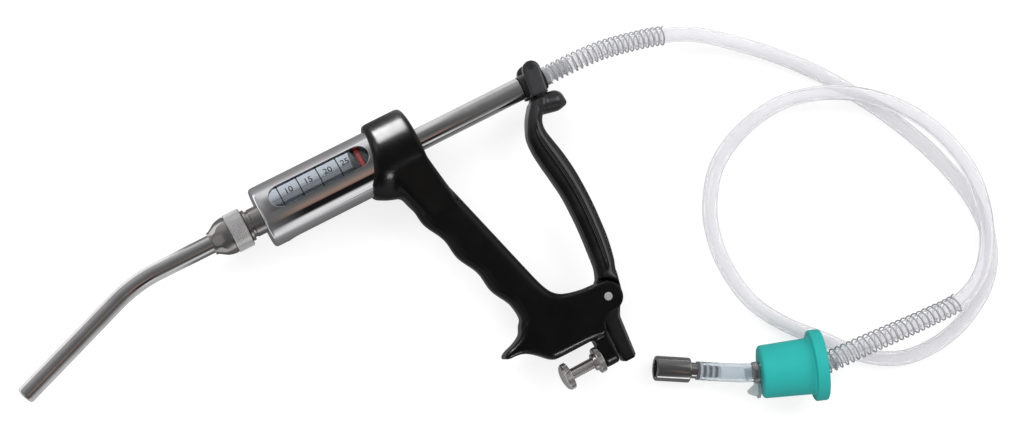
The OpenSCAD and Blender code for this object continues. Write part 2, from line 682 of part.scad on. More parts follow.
function arm_ring(s) = let (mid = (s[1] + s[2]) / 2, half = (s[2] - s[1]) / 2,
    upper = [for (p = half_section_shares)
        [pivot_x + lever_reach * (mid + half * p[0]), pivot_y + lever_reach * s[0],
         arm_t / 2 * s[3] * (p[1] - channel_share * p[2] * s[4])]])
    concat(upper, [for (i = [len(upper) - 1:-1:0]) [upper[i].x, upper[i].y, -upper[i].z]]);

arm_root_shares = [[-0.02, 0.05], [0.002, 0.09], [0.02, 0.14], [0.114, 0.14], [0.1, 0.07], [0.078, 0],
                   [0.066, -0.035], [0.02, -0.06]];
tail_front = tail_gap - slot_reach;
tail_outline = [[tail_front, -hub_r / 2], [tail_front, tail_edge - tail_drop],
                [tail_front + tail_edge, -tail_drop],
                [tail_front + tail_w - tail_edge, -tail_drop], [tail_front + tail_w, tail_edge - tail_drop],
                [hub_r / 2, -hub_r], [hub_r / 2, 0]];
horn_drop = 14;
horn_fall = 1.6;

module hub() difference() {
    union() {
        cylinder(r = hub_r, h = hub_t);
        linear_extrude(hub_t) polygon([for (share = arm_root_shares) lever_reach * share]);
        linear_extrude(hub_t) polygon(tail_outline);
    }
    translate([0, 0, hub_t / 2 + return_z - return_wire / 2 - return_room])
        cylinder(d = return_coil_d + 2 * return_wire, h = hub_t);
    translate([0, 0, hub_t / 2 + return_z - leg_room / 2 - leg_step]) linear_extrude(hub_t) polygon(leg_path);
}

prong_low = fork_root + horn_r;
groove_deep = (trunnion_len - fork_gap) / 2 + move_gap;
module prong() difference() {
    linear_extrude(prong_t) {
        translate([-prong_w / 2, -prong_low]) square([prong_w, prong_low + prong_top - prong_w / 2]);
        translate([0, prong_top - prong_w / 2]) circle(d = prong_w);
    }
    translate([0, groove_w / 2 - groove_low, -cut]) cylinder(d = groove_w, h = cut + groove_deep);
    translate([-groove_w / 2, groove_w / 2 - groove_low, -cut])
        cube([groove_w, prong_top + groove_low, cut + groove_deep]);
    translate([0, screw_up, -cut]) cylinder(d = screw_d, h = prong_t + 2 * cut);
}

module lever() color([0.06, 0.06, 0.06]) place() difference() {
    union() {
        at_pivot() translate([0, 0, -hub_t / 2]) hub();
        skin([for (s = arm_shares) arm_ring(s)]);
        at_fork() for (side = [0, 1]) mirror([0, 0, side]) translate([0, 0, fork_gap / 2]) prong();
        hull() for (side = [-1, 1]) {
            translate([fork_x, -horn_drop, side * horn_spread / 2]) sphere(r = horn_r, $fn = hull_fn);
            translate([fork_x + horn_len - horn_r, -horn_drop - horn_fall, side * horn_spread / 2])
                sphere(r = horn_r, $fn = hull_fn);
        }
    }
    at_pivot() {
        translate([0, 0, -grip_t]) cylinder(d = pin_d + 2 * run_fit, h = 2 * grip_t);
        translate([return_r - return_room - return_wire / 2, 0, return_z - return_room - return_wire / 2])
            cube([leg_room, leg_reach + return_room, leg_room + return_curls * return_pitch]);
    }
}

module fork_screws() color([0.1, 0.1, 0.1]) place() at_fork() for (side = [0, 1]) mirror([0, 0, side])
    translate([0, screw_up, fork_gap / 2]) cylinder(d = screw_d, h = prong_t + screw_proud);

// Torsion spring: a leg in the casting, curls round the pin, and a leg in the lever
return_path = concat([[-slot_reach - return_leg / 3, -return_r, return_z]],
    [for (i = [0:8 * return_curls]) let (a = -90 + 45 * i)
        [return_r * cos(a), return_r * sin(a), return_z + return_pitch * i / 8]],
    [[return_r, leg_reach, return_z + return_pitch * return_curls]]);
module return_spring() color([0.6, 0.6, 0.62]) place() at_pivot() skin([for (i = [0:len(return_path) - 1])
    ring(return_path[i], heading(return_path, i), [0, 0, 1], return_wire / 2, wire_sides)]);

// Dose screw and its lock nut

dose_nut_rear = lug_front - move_gap;
dose_nut_front = dose_nut_rear - dose_nut_t;
dose_head_rear = dose_nut_front - dose_thread_len;
dose_tip = pivot_x - slot_reach + tail_gap - move_gap;
dose_head_shares = [[0, 0], [0, 1], [0.25, 0.95], [0.43, 0.75], [0.5, 0.3], [0.5, 0]];
module dose_screw() color([0.7, 0.68, 0.64]) place() translate([0, dose_y, 0]) {
    x_bar(dose_head_rear, dose_tip, dose_d);
    x_turned([for (share = dose_head_shares)
        [dose_head_d * share[0], dose_head_rear - dose_head_t * share[1]]]);
}
module dose_lock_nut() color([0.72, 0.7, 0.66]) place() translate([0, dose_y, 0])
    x_pipe(dose_nut_front, dose_nut_rear, dose_nut_d, dose_d + 2 * run_fit);

// Plunger: rod, piston with its valve, crosshead and hose barb

module plunger_rod() color([0.8, 0.81, 0.83]) place() difference() {
    union() {
        x_bar(rod_nose, crosshead_front + rod_stub_len, rod_end_d);
        x_bar(piston_rear, crosshead_front, rod_d);
    }
    x_bar(rod_nose - cut, crosshead_front + rod_stub_len + cut, rod_bore_d);
}

module piston() color([0.04, 0.04, 0.04]) place() difference() {
    x_bar(piston_front, piston_rear, bore_d - 2 * piston_clear);
    x_bar(piston_front - cut, piston_front + cap_t, cap_d);
    x_bar(piston_front, rod_nose, pocket_d);
    x_bar(rod_nose - cut, piston_rear + cut, rod_end_d);
    for (x = o_ring_places)
        x_pipe(x - o_ring_room, x + o_ring_room, bore_d, 2 * o_ring_mid_r - o_ring_t);
}
module piston_o_rings() color([0.75, 0.08, 0.06]) place() for (x = o_ring_places)
    translate([x, 0, 0]) rotate([0, 90, 0]) rotate_extrude()
        translate([o_ring_mid_r, 0]) circle(d = o_ring_t);
module piston_cap() color([0.1, 0.1, 0.1]) place()
    x_pipe(piston_front, piston_front + cap_t, cap_d, cage_hole_d);
module inlet_valve_ball() color([0.75, 0.75, 0.78]) place()
    translate([inlet_ball_x, 0, 0]) sphere(d = ball_d);
module inlet_valve_spring() color([0.7, 0.7, 0.72]) place()
    x_spring(piston_front + cap_t, inlet_ball_x - ball_touch_share * ball_d, valve_spring_d, valve_wire,
             valve_spring_curls / 2);

module crosshead() color([0.12, 0.12, 0.12]) place() difference() {
    union() {
        x_bar(crosshead_front, crosshead_rear, crosshead_d);
        translate([fork_x, 0, -trunnion_len / 2]) cylinder(d = trunnion_d, h = trunnion_len);
    }
    x_bar(crosshead_front - cut, crosshead_rear + cut, rod_bore_d);
    x_bar(crosshead_front - cut, crosshead_front + rod_stub_len, rod_end_d);
    x_bar(spigot_front, crosshead_rear + cut, barb_spigot_d);
}

// Saw-toothed tail for a hose: each barb tapers towards the hose's end
function barbs(from, step, d, count) = [for (i = [0:count - 1]) each
    [[d / 2, from + step * i], [d / 2 * barb_share, from + step * (i + 1)]]];
module hose_barb() color([0.72, 0.72, 0.74]) place() difference() {
    x_turned(concat([[0, gun_rear], [0, spigot_front], [barb_spigot_d / 2, spigot_front],
                     [barb_spigot_d / 2, crosshead_rear], [barb_flange_d / 2, crosshead_rear],
                     [barb_flange_d / 2, hose_start]],
                    barbs(hose_start, barb_pitch, barb_d, barb_count)));
    x_bar(spigot_front - cut, gun_rear + cut, barb_bore_d);
}

// Hose and its guard springs

hose_path = curve(hose_route, route_steps);
function hose_ring(p, i, d, sides) =
    ring(p[i], i == 0 ? unit(p[1] - p[0]) : heading(p, i), [0, 0, 1], d / 2, sides);
lead_rings = lead_points * route_steps;
module hose_lead() color([0.9, 0.92, 0.94, 0.5]) on_surface()
    skin([for (i = [0:lead_rings]) hose_ring(hose_path, i, hose_d, hose_sides)]);
module hose_loop() color([0.9, 0.92, 0.94, 0.5]) on_surface() skin(concat(
    [ring(hose_path[lead_rings] + move_gap * heading(hose_path, lead_rings), heading(hose_path, lead_rings),
          [0, 0, 1], hose_d / 2, hose_sides)],
    [for (i = [lead_rings + 1:len(hose_path) - 2]) hose_ring(hose_path, i, hose_d, hose_sides)],
    [ring(stopper_at, stopper_dir, [0, 0, 1], hose_d / 2, hose_sides)]));
module gun_guard_spring() color([0.75, 0.76, 0.78]) on_surface() guard(gun_guard_path);
module stopper_guard_spring() color([0.75, 0.76, 0.78]) on_surface() guard(stopper_guard_path);

// Stopper, its pipe, and the suction side

module stopper() color([0.16, 0.72, 0.66]) on_surface() at_stopper() difference() {
    x_turned([[0, 0], [stopper_flange_d / 2 - stopper_edge, 0], [stopper_flange_d / 2, stopper_edge],
              [stopper_flange_d / 2, stopper_flange_t], [stopper_top_d / 2, stopper_flange_t],
              [stopper_end_d / 2, stopper_len - stopper_edge],
              [stopper_end_d / 2 - stopper_edge, stopper_len], [0, stopper_len]]);
    x_bar(-cut, stopper_len + cut, stopper_pipe_d);
}
module stopper_pipe() color([0.7, 0.7, 0.72]) on_surface() at_stopper()
    x_pipe(-pipe_proud, stopper_len + pipe_proud, stopper_pipe_d, stopper_pipe_d - 2 * pipe_wall);

// The suction tube leaves the stopper along its pipe and reaches the fitting along its barbs
suction_curve = let (a = suction_from, b = suction_from + suction_pull * stopper_dir,
                     c = suction_to - suction_pull * sinker_dir, d = suction_to)
    [for (i = [0:suction_rings]) let (t = i / suction_rings, u = 1 - t)
        u * u * u * a + 3 * u * u * t * b + 3 * u * t * t * c + t * t * t * d];
module suction_tube() color([0.75, 0.8, 0.83, 0.6]) on_surface() skin(concat(
    [ring(suction_from, stopper_dir, [0, 0, 1], suction_d / 2, suction_sides)],
    [for (i = [1:suction_rings - 1]) hose_ring(suction_curve, i, suction_d, suction_sides)],
    [ring(suction_to, sinker_dir, [0, 0, 1], suction_d / 2, suction_sides)]));

clip_front = stopper_len + clip_at - clip_w / 2;
module hose_clip() color([0.72, 0.73, 0.75]) on_surface() at_stopper() {
    x_pipe(clip_front, clip_front + clip_w, suction_d + 2 * clip_t, suction_d);
    rotate([clip_turn, 0, 0]) difference() {
        translate([clip_front, -clip_ear_t / 2, (suction_d + clip_t) / 2])
            cube([clip_w, clip_ear_t, clip_ear]);
        translate([clip_front - cut, clip_t - clip_ear_t / 2, suction_d / 2 + clip_t])
            cube([clip_w + 2 * cut, clip_ear_t - 2 * clip_t, clip_ear - 2 * clip_t]);
    }
}

fitting_tail = barb_count * fitting_barb_pitch;
fitting_end = fitting_neck_len + sinker_len;
sinker_r = sinker_d / 2;
module suction_fitting() color([0.78, 0.79, 0.81]) on_surface() at_fitting() difference() {
    x_turned(concat(
        [for (i = [0:barb_count - 1]) each
            [[fitting_barb_d / 2 * barb_share, fitting_barb_pitch * (i - barb_count)],
             [fitting_barb_d / 2, fitting_barb_pitch * (i + 1 - barb_count)]]],
        [[fitting_neck_d / 2, 0], [fitting_neck_d / 2, fitting_neck_len],
         [sinker_r - sinker_edge, fitting_neck_len], [sinker_r, fitting_neck_len + sinker_edge],
         [sinker_r, fitting_end - sinker_edge], [sinker_r - sinker_edge, fitting_end],
         [0, fitting_end], [0, -fitting_tail]]));
    x_bar(-fitting_tail - cut, fitting_end, fitting_bore_d);
    x_bar(fitting_end - sinker_bore_len, fitting_end + cut, sinker_bore_d);
}

module strainer() color([0.6, 0.6, 0.62]) on_surface() at_fitting() difference() {
    x_bar(fitting_end - sinker_bore_len, fitting_end - sinker_bore_len + strainer_t, sinker_bore_d);
    for (k = [1:strainer_holes])
        rotate([360 * k / strainer_holes, 0, 0]) translate([0, sinker_bore_d / 4, 0])
            x_bar(0, fitting_end, strainer_hole_d);
}

handle_casting();
barrel_sleeve();
glass_cylinder();
outlet_cap();
front_seal();
rear_seal();
rod_bush();
rod_wiper();
pivot_pin();
outlet_valve_cage();
outlet_valve_spring();
outlet_valve_ball();
nozzle();
nozzle_washer();
nozzle_lock_ring();
lever();
fork_screws();
return_spring();
dose_screw();
dose_lock_nut();
plunger_rod();
piston();
piston_o_rings();
piston_cap();
inlet_valve_ball();
inlet_valve_spring();
crosshead();
hose_barb();
gun_guard_spring();
hose_lead();
hose_loop();
stopper_guard_spring();
stopper();
stopper_pipe();
hose_clip();
suction_tube();
suction_fitting();
strainer();
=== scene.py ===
import math

import bmesh
import bpy
from mathutils import Matrix, Vector


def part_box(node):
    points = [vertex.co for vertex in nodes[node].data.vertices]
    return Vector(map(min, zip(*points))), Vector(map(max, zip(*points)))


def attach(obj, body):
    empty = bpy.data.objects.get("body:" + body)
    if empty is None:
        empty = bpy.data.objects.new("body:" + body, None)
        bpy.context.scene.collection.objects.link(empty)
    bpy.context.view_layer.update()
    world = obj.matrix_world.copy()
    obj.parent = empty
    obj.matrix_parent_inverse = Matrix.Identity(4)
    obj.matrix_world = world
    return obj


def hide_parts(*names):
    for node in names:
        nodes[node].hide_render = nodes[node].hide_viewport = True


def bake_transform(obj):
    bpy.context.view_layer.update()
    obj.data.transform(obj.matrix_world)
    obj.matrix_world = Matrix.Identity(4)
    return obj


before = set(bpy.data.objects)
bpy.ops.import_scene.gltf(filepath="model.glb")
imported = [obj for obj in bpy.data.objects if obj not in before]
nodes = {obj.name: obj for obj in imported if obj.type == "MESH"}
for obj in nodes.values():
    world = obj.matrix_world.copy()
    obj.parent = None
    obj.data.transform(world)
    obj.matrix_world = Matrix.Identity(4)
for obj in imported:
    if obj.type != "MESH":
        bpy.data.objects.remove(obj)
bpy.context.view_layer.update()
scene = bpy.context.scene

# Places: millimetres from the centre of the barrel's front face, and the same with heights above the floor
sleeve_low, sleeve_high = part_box("barrel_sleeve")
gun_zero = Vector((sleeve_low.x, (sleeve_low.y + sleeve_high.y) / 2, (sleeve_low.z + sleeve_high.z) / 2))
GUN = Matrix.Translation(gun_zero) @ Matrix.Scale(0.001, 4)
FLOOR = Matrix.Translation((gun_zero.x, gun_zero.y, 0)) @ Matrix.Scale(0.001, 4)
AXIS_UP = gun_zero.z * 1000
TINY = 1e-6


def moved(x, y, z):
    return Matrix.Translation((x, y, z))


def spun(degrees, axis):
    return Matrix.Rotation(math.radians(degrees), 4, axis)


X_FROM_Z, Z_FROM_X = spun(90, "Y"), spun(-90, "Y")


# Camera

def set_camera():
    """The whole object from above, tilted along the barrel and rolled so that the barrel climbs."""
    tilt, roll, distance = math.radians(10), math.radians(27.3), 0.9
    middle = GUN @ Vector((112.56, -54.38, 0))
    back = Vector((-math.sin(tilt), 0, math.cos(tilt)))
    level_right, level_up = Vector((math.cos(tilt), 0, math.sin(tilt))), Vector((0, 1, 0))
    right = level_right * math.cos(roll) - level_up * math.sin(roll)
    up = level_right * math.sin(roll) + level_up * math.cos(roll)
    lens = bpy.data.cameras.new("camera")
    lens.lens, lens.sensor_width, lens.sensor_fit = 62.1, 36, "HORIZONTAL"
    lens.clip_start, lens.clip_end = 0.05, 20
    camera = bpy.data.objects.new("camera", lens)
    scene.collection.objects.link(camera)
    turn = Matrix((right, up, back)).transposed().to_4x4()
    camera.matrix_world = Matrix.Translation(middle + back * distance) @ turn
    scene.camera = camera


set_camera()


# Node making

SOCKET_KINDS = {int: "NodeSocketInt", float: "NodeSocketFloat", 3: "NodeSocketVector", 4: "NodeSocketColor"}


def take_inputs(tree, inputs):
    """Named inputs of a node group; the form of each first value gives its kind."""
    for label, value in inputs.items():
        kind = SOCKET_KINDS[len(value) if isinstance(value, tuple) else type(value)]
        tree.interface.new_socket(label, in_out="INPUT", socket_type=kind).default_value = value


def add(tree, kind, links=(), **values):
    """A node with its settings, and its sockets linked or set."""
    node = tree.nodes.new(kind)
    for key, value in values.items():
        setattr(node, key, value)
    for socket, source in links:
        if hasattr(source, "is_output"):
            tree.links.new(source, node.inputs[socket])
        else:
            node.inputs[socket].default_value = source
    return node


def maths(tree, operation, *values, **settings):
    return add(tree, "ShaderNodeMath", enumerate(values), operation=operation, **settings).outputs[0]


def mixed(tree, share, low, high):
    return add(tree, "ShaderNodeMix", [(0, share), (6, low), (7, high)], data_type="RGBA").outputs[2]


def ranged(tree, value, low, high, to=(0.0, 1.0), **settings):
    links = [("Value", value), ("From Min", low), ("From Max", high), ("To Min", to[0]), ("To Max", to[1])]
    return add(tree, "ShaderNodeMapRange", links, **settings).outputs[0]


def noise(tree, where, scale, detail, rough=0.5):
    links = [("Vector", where), ("Scale", scale), ("Detail", detail), ("Roughness", rough)]
    return add(tree, "ShaderNodeTexNoise", links).outputs["Fac"]


def object_place(tree):
    return add(tree, "ShaderNodeTexCoord").outputs["Object"]


def opaque(tone):
    """A grey level or a colour, as a shader takes it."""
    return (*tone, 1) if isinstance(tone, tuple) else (tone, tone, tone, 1)


def ramp(tree, share, places):
    """Grey levels or colours by place along a share."""
    node = add(tree, "ShaderNodeValToRGB", [("Fac", share)])
    band = node.color_ramp.elements
    while len(band) > 1:
        band.remove(band[-1])
    band[0].position, band[0].color = places[0][0], opaque(places[0][1])
    for place, tone in places[1:]:
        band.new(place).color = opaque(tone)
    return node.outputs[0]


# Shader effects that the finishes share

def skin_group(name, inputs):
    """A group that puts out a colour, a roughness and a height over a surface."""
    group = bpy.data.node_groups.new(name, "ShaderNodeTree")
    take_inputs(group, inputs)
    for label, kind in (("Colour", "Color"), ("Roughness", "Float"), ("Height", "Float")):
        group.interface.new_socket(label, in_out="OUTPUT", socket_type="NodeSocket" + kind)
    return group, group.nodes.new("NodeGroupInput").outputs, group.nodes.new("NodeGroupOutput").inputs


def give_skin(group, give, *sources):
    for socket, source in zip(give, sources):
        group.links.new(source, socket)
    return group


def cast_skin_group():
    """Orange peel, flow mottling and fine dust of a painted casting."""
    group, take, give = skin_group("cast_skin", {
        "Colour": opaque(0.01), "Worn Colour": opaque(0.05), "Peel Scale": 900.0, "Roughness": 0.25,
        "Spread": 0.1})
    where = object_place(group)
    flow = noise(group, where, 55.0, 5.0, 0.65)
    patch = ranged(group, flow, 0.42, 0.75)
    limits = [maths(group, way, take["Roughness"], take["Spread"]) for way in ("SUBTRACT", "ADD")]
    return give_skin(group, give, mixed(group, patch, take["Colour"], take["Worn Colour"]),
                     ranged(group, flow, 0.3, 0.7, limits), noise(group, where, take["Peel Scale"], 2.0))


def metal_skin_group():
    """Turning lines along the stretched direction, with finger smudges that dull the polish."""
    group, take, give = skin_group("metal_skin", {
        "Colour": opaque(0.8), "Dull Colour": opaque(0.6), "Stretch": (3000, 40, 40), "Roughness": 0.1,
        "Smudge": 0.1})
    where = object_place(group)
    lines = add(group, "ShaderNodeVectorMath", [(0, where), (1, take["Stretch"])], operation="MULTIPLY")
    patch = ranged(group, noise(group, where, 70.0, 6.0, 0.7), 0.45, 0.75)
    return give_skin(group, give, mixed(group, patch, take["Colour"], take["Dull Colour"]),
                     maths(group, "MULTIPLY_ADD", patch, take["Smudge"], take["Roughness"]),
                     noise(group, lines.outputs[0], 1.0, 3.0))


CAST_SKIN, METAL_SKIN = cast_skin_group(), metal_skin_group()
PEEL_DEEP, LINES_DEEP = 0.0003, 0.0002


# Finishes

def finish(name, group, values, bump, deep, sockets):
    """A material whose colour, roughness and bump come from a shared group, with its own constants."""
    made = bpy.data.materials.new(name)
    made.use_nodes = True
    tree = made.node_tree
    shader = tree.nodes["Principled BSDF"]
    skin = add(tree, "ShaderNodeGroup", values.items(), node_tree=group).outputs
    tree.links.new(skin["Colour"], shader.inputs["Base Color"])
    tree.links.new(skin["Roughness"], shader.inputs["Roughness"])
    if bump:
        links = [("Strength", bump), ("Distance", deep), ("Height", skin["Height"])]
        tree.links.new(add(tree, "ShaderNodeBump", links).outputs["Normal"], shader.inputs["Normal"])
    for label, value in sockets.items():
        shader.inputs[label].default_value = value
    return made


def cast(name, colour, worn, rough, spread, peel, bump, sockets):
    values = {"Colour": opaque(colour), "Worn Colour": opaque(worn), "Roughness": rough, "Spread": spread,
              "Peel Scale": peel}
    return finish(name, CAST_SKIN, values, bump, PEEL_DEEP, sockets)


def paint(name, colour, worn, rough, gloss):
    return cast(name, colour, worn, rough, 0.06, 520, 0.06,
                {"Specular IOR Level": gloss, "Coat Weight": 0.1, "Coat Roughness": 0.22})


def rubber(name, colour, worn, rough, peel=1400, bump=0.15):
    return cast(name, colour, worn, rough, 0.08, peel, bump, {"Specular IOR Level": 0.4})


def clear_plastic(name, colour, cloud, rough, through, bending=1.42):
    """Clear tube: a cloudy body colour that varies along it, over light that passes through."""
    return cast(name, colour, cloud, rough, 0.04, 160, 0,
                {"Transmission Weight": through, "IOR": bending, "Specular IOR Level": 0.5})


def metal(name, colour, dull, rough, smudge, lines, bump=0.05, metallic=1.0):
    """Metal whose lines are spread alike all ways, or by a number for each axis."""
    values = {"Colour": opaque(colour), "Dull Colour": opaque(dull), "Roughness": rough, "Smudge": smudge,
              "Stretch": lines if isinstance(lines, tuple) else (lines, lines, lines)}
    return finish(name, METAL_SKIN, values, bump, LINES_DEEP, {"Metallic": metallic})


def painted_sheen_towards_fork(made, first, last, colour):
    """Paint made greyer over the end that the thumb handles, between two places along Y: a painted sheen for
    the light that falls on the fork end's up-facing faces.
    """
    tree = made.node_tree
    skin = next(node for node in tree.nodes if node.type == "GROUP")
    spot = add(tree, "ShaderNodeSeparateXYZ", [(0, object_place(tree))])
    # share of the painted sheen, from none to full towards the fork
    lit_share = ranged(tree, spot.outputs["Y"], first, last, interpolation_type="SMOOTHSTEP")
    tint = mixed(tree, lit_share, skin.outputs["Colour"], opaque(colour))
    tree.links.new(tint, tree.nodes["Principled BSDF"].inputs["Base Color"])
    return made


# paints: colour, worn colour, roughness and gloss
BLACK_PAINT = paint("gloss_black_paint", 0.0008, 0.0014, 0.3, 0.22)
# the lever's paint carries a painted sheen, greyer towards the fork
LEVER_PAINT = painted_sheen_towards_fork(paint("lever_black_paint", 0.001, 0.0018, 0.24, 0.3),
                                  gun_zero.y - 0.03, gun_zero.y - 0.012, (0.022, 0.021, 0.023))
# metals: colour, dull colour, roughness, smudges, turning lines, bump and how metallic the surface is
CHROME = metal("chrome_plate", (0.78, 0.78, 0.8), (0.72, 0.72, 0.74), 0.03, 0.05, 60, 0.01)
TUBE_CHROME = metal("drawn_tube_chrome", (0.66, 0.65, 0.65), (0.55, 0.54, 0.54), 0.1, 0.1, (40, 900, 900),
                    0.02)
TURNED = metal("turned_steel", (0.47, 0.45, 0.44), (0.37, 0.35, 0.33), 0.07, 0.08, (4200, 60, 60), 0.1)
SINKER_PLATE = metal("sinker_plate", (0.4, 0.39, 0.4), (0.33, 0.32, 0.33), 0.08, 0.08, (900, 60, 60), 0.04)
SATIN = metal("satin_knurl", (0.68, 0.68, 0.7), (0.58, 0.58, 0.6), 0.4, 0.12, 900, 0.25, 0.35)
CLIP_STEEL = metal("clip_steel", (0.56, 0.62, 0.63), (0.42, 0.47, 0.49), 0.3, 0.12, 400, 0.1, 0.3)
PLATED = metal("nickel_plate", (0.72, 0.69, 0.68), (0.6, 0.57, 0.55), 0.12, 0.1, 500, 0.02, 0.95)
# near-black steel that paints shade into the barbs' roots and onto the clip ears' edges
PAINTED_SHADE_STEEL = metal("painted_shade_steel", (0.07, 0.07, 0.072), (0.05, 0.05, 0.052), 0.3, 0.1, 500, 0.06)
RIVET = metal("rivet_steel", (0.44, 0.43, 0.41), (0.3, 0.29, 0.27), 0.3, 0.15, 500, 0.1, 0.4)
WIRE = metal("spring_wire", (0.5, 0.52, 0.55), (0.4, 0.42, 0.45), 0.16, 0.15, 300, 0.05, 0.55)
# pale, barely metallic plate that paints a highlight onto the barbs' crests
BARB_PLATE_PAINTED_HIGHLIGHT = metal("barb_plate_painted_highlight", (0.84, 0.86, 0.9), (0.74, 0.76, 0.8), 0.25, 0.1, 300, 0.05, 0.25)
BRASS = metal("turned_brass", (0.78, 0.6, 0.3), (0.55, 0.4, 0.2), 0.22, 0.15, (2500, 80, 80), 0.1)
INNER_WALL = metal("sleeve_inside", (0.34, 0.36, 0.39), (0.28, 0.3, 0.33), 0.3, 0.12, 200)
# rubbers and plain plastics: colour, worn colour, roughness, grain and bump
PISTON_BLACK = rubber("piston_plastic", 0.018, 0.03, 0.4)
RED_RING = rubber("ring_red_rubber", (0.8, 0.05, 0.03), (0.68, 0.04, 0.025), 0.42)
SEAL_BLACK = rubber("seal_rubber", 0.02, 0.035, 0.6)
STOPPER_TEAL = rubber("stopper_rubber", (0.016, 0.4, 0.37), (0.022, 0.43, 0.4), 0.5, 700, 0.1)
INK = rubber("scale_ink", 0.012, 0.02, 0.5)
# clear plastics and glass: colour, cloudy colour, roughness, share of light let through and index of bending
HOSE_CLEAR = clear_plastic("hose_clear_plastic", (0.975, 0.968, 0.992), (0.96, 0.953, 0.98), 0.1, 0.76, 1.25)
SUCTION_CLEAR = clear_plastic("suction_clear_plastic", (0.72, 0.77, 0.81), (0.69, 0.74, 0.78), 0.03, 0.92)
GLASS = clear_plastic("chamber_glass", (0.88, 0.92, 0.97), (0.85, 0.9, 0.95), 0.04, 1.0)


# Mesh making

def mesh_from(bm):
    bmesh.ops.recalc_face_normals(bm, faces=bm.faces)
    mesh = bpy.data.meshes.new("part")
    bm.to_mesh(mesh)
    bm.free()
    return mesh


def loose(name, data):
    obj = bpy.data.objects.new(name, data)
    scene.collection.objects.link(obj)
    return obj


def settled(obj):
    """The object's mesh with its modifiers worked in; the object itself goes."""
    bpy.context.view_layer.update()
    mesh = bpy.data.meshes.new_from_object(obj.evaluated_get(bpy.context.evaluated_depsgraph_get()))
    bpy.data.objects.remove(obj)
    return mesh


def piece(name, mesh, material, body, stands_for=(), sharp=38):
    """A finished piece that rides on a body and stands for the frame's own nodes."""
    obj = loose(name, mesh)
    mesh.name = name
    mesh.materials.clear()
    mesh.materials.append(material)
    mesh.shade_smooth()
    mesh.set_sharp_from_angle(angle=math.radians(sharp))
    if body:
        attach(obj, body)
    if stands_for:
        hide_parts(*stands_for)
    return obj


def refinish(obj, finishes, choose):
    """More finishes on a piece; choose gives each face's place among them, from 1, or 0 for none."""
    for material in finishes:
        obj.data.materials.append(material)
    for face in obj.data.polygons:
        face.material_index = choose(face)


def circle(sides):
    turns = [2 * math.pi * k / sides for k in range(sides)]
    return [(math.cos(turn), math.sin(turn)) for turn in turns]


def eased(corners, steps=4):
    """A profile whose corners (x, radius, ease) are rounded over that ease."""
    line = []
    for i, corner in enumerate(corners):
        x, r, ease = (*corner, 0)[:3]
        if not ease or i in (0, len(corners) - 1):
            line.append((x, r))
            continue
        here = Vector((x, r))
        before, after = Vector(corners[i - 1][:2]) - here, Vector(corners[i + 1][:2]) - here
        a = here + before.normalized() * min(ease, before.length * 0.49)
        b = here + after.normalized() * min(ease, after.length * 0.49)
        for k in range(steps + 1):
            t = k / steps
            p = a * (1 - t) ** 2 + here * 2 * t * (1 - t) + b * t * t
            line.append((p.x, p.y))
    return line


def skin_rings(bm, rings, closed=False, capped=False):
    """Faces from ring to ring; a ring of one point is a pole."""
    pairs = list(zip(rings, rings[1:]))
    if closed:
        pairs.append((rings[-1], rings[0]))
    for a, b in pairs:
        n = max(len(a), len(b))
        for k in range(n):
            m = (k + 1) % n
            if len(a) == 1 and len(b) > 1:
                bm.faces.new((a[0], b[m], b[k]))
            elif len(b) == 1 and len(a) > 1:
                bm.faces.new((a[k], a[m], b[0]))
            elif len(a) > 1:
                bm.faces.new((a[k], a[m], b[m], b[k]))
    if capped:
        bm.faces.new(rings[0])
        bm.faces.new(rings[-1])


def turned(profile, place=GUN, sides=96):
    """A profile of (x, radius) turned about the x axis of a place."""
    bm, rings = bmesh.new(), []
    for x, r in profile:
        spokes = [(1, 0)] if r < TINY else circle(sides)
        rings.append([bm.verts.new(place @ Vector((x, r * c, r * s))) for c, s in spokes])
    skin_rings(bm, rings, closed=profile[0][1] > TINY)
    return mesh_from(bm)


def drum(first, last, radius, place=GUN, sides=48):
    """Plain cylinder along the x axis of a place."""
    return turned([(first, 0), (first, radius), (last, radius), (last, 0)], place, sides)


def box_mesh(low, high, place=GUN):
    bm = bmesh.new()
    bmesh.ops.create_cube(bm, size=1)
    for v in bm.verts:
        v.co = place @ Vector([l + (h - l) * (c + 0.5) for l, h, c in zip(low, high, v.co)])
    return mesh_from(bm)


def curve_through(rows, steps):
    """Smooth rows of numbers through given ones, with the same rule that lays out the hose solid."""
    line, last = [], len(rows) - 1
    for i in range(last):
        four = rows[max(i - 1, 0)], rows[i], rows[i + 1], rows[min(i + 2, last)]
        for j in range(steps):
            t = j / steps
            line.append([(2 * b + (c - a) * t + (2 * a - 5 * b + 4 * c - d) * t * t
                          + (3 * b - a - 3 * c + d) * t ** 3) / 2 for a, b, c, d in zip(*four)])
    return line + [list(rows[-1])]


def along(path, reach):
    """Point at a distance along a path."""
    for a, b in zip(path, path[1:]):
        step = (b - a).length
        if reach <= step or b is path[-1]:
            return a + (b - a) * (reach / step)
        reach -= step


def headings(path):
    last = len(path) - 1
    return [(path[min(i + 1, last)] - path[max(i - 1, 0)]).normalized() for i in range(last + 1)]


def ring_across(bm, point, heading, side, radius, place, sides):
    """Points round a path, turned so that they start towards a side."""
    b = heading.cross(side).normalized()
    n = b.cross(heading)
    return [bm.verts.new(place @ (point + (n * c + b * s) * radius)) for c, s in circle(sides)]


def swept(stations, place, sides=24):
    """Rings across a path: stations are (point, heading, radius); a radius of 0 closes the end."""
    bm, rings, up = bmesh.new(), [], Vector((0, 0, 1))
    for point, heading, r in stations:
        if r < TINY:
            rings.append([bm.verts.new(place @ point)])
        else:
            rings.append(ring_across(bm, point, heading, up, r, place, sides))
    skin_rings(bm, rings, closed=stations[0][2] > TINY)
    return mesh_from(bm)


def hose_mesh(path, outer, inner, sides):
    """Hollow tube: out along the outer wall and back along the bore."""
    turns = headings(path)
    wall, bore = ([(p, h, r) for p, h in zip(path, turns)] for r in (outer, inner))
    return swept(wall + bore[::-1], FLOOR, sides)


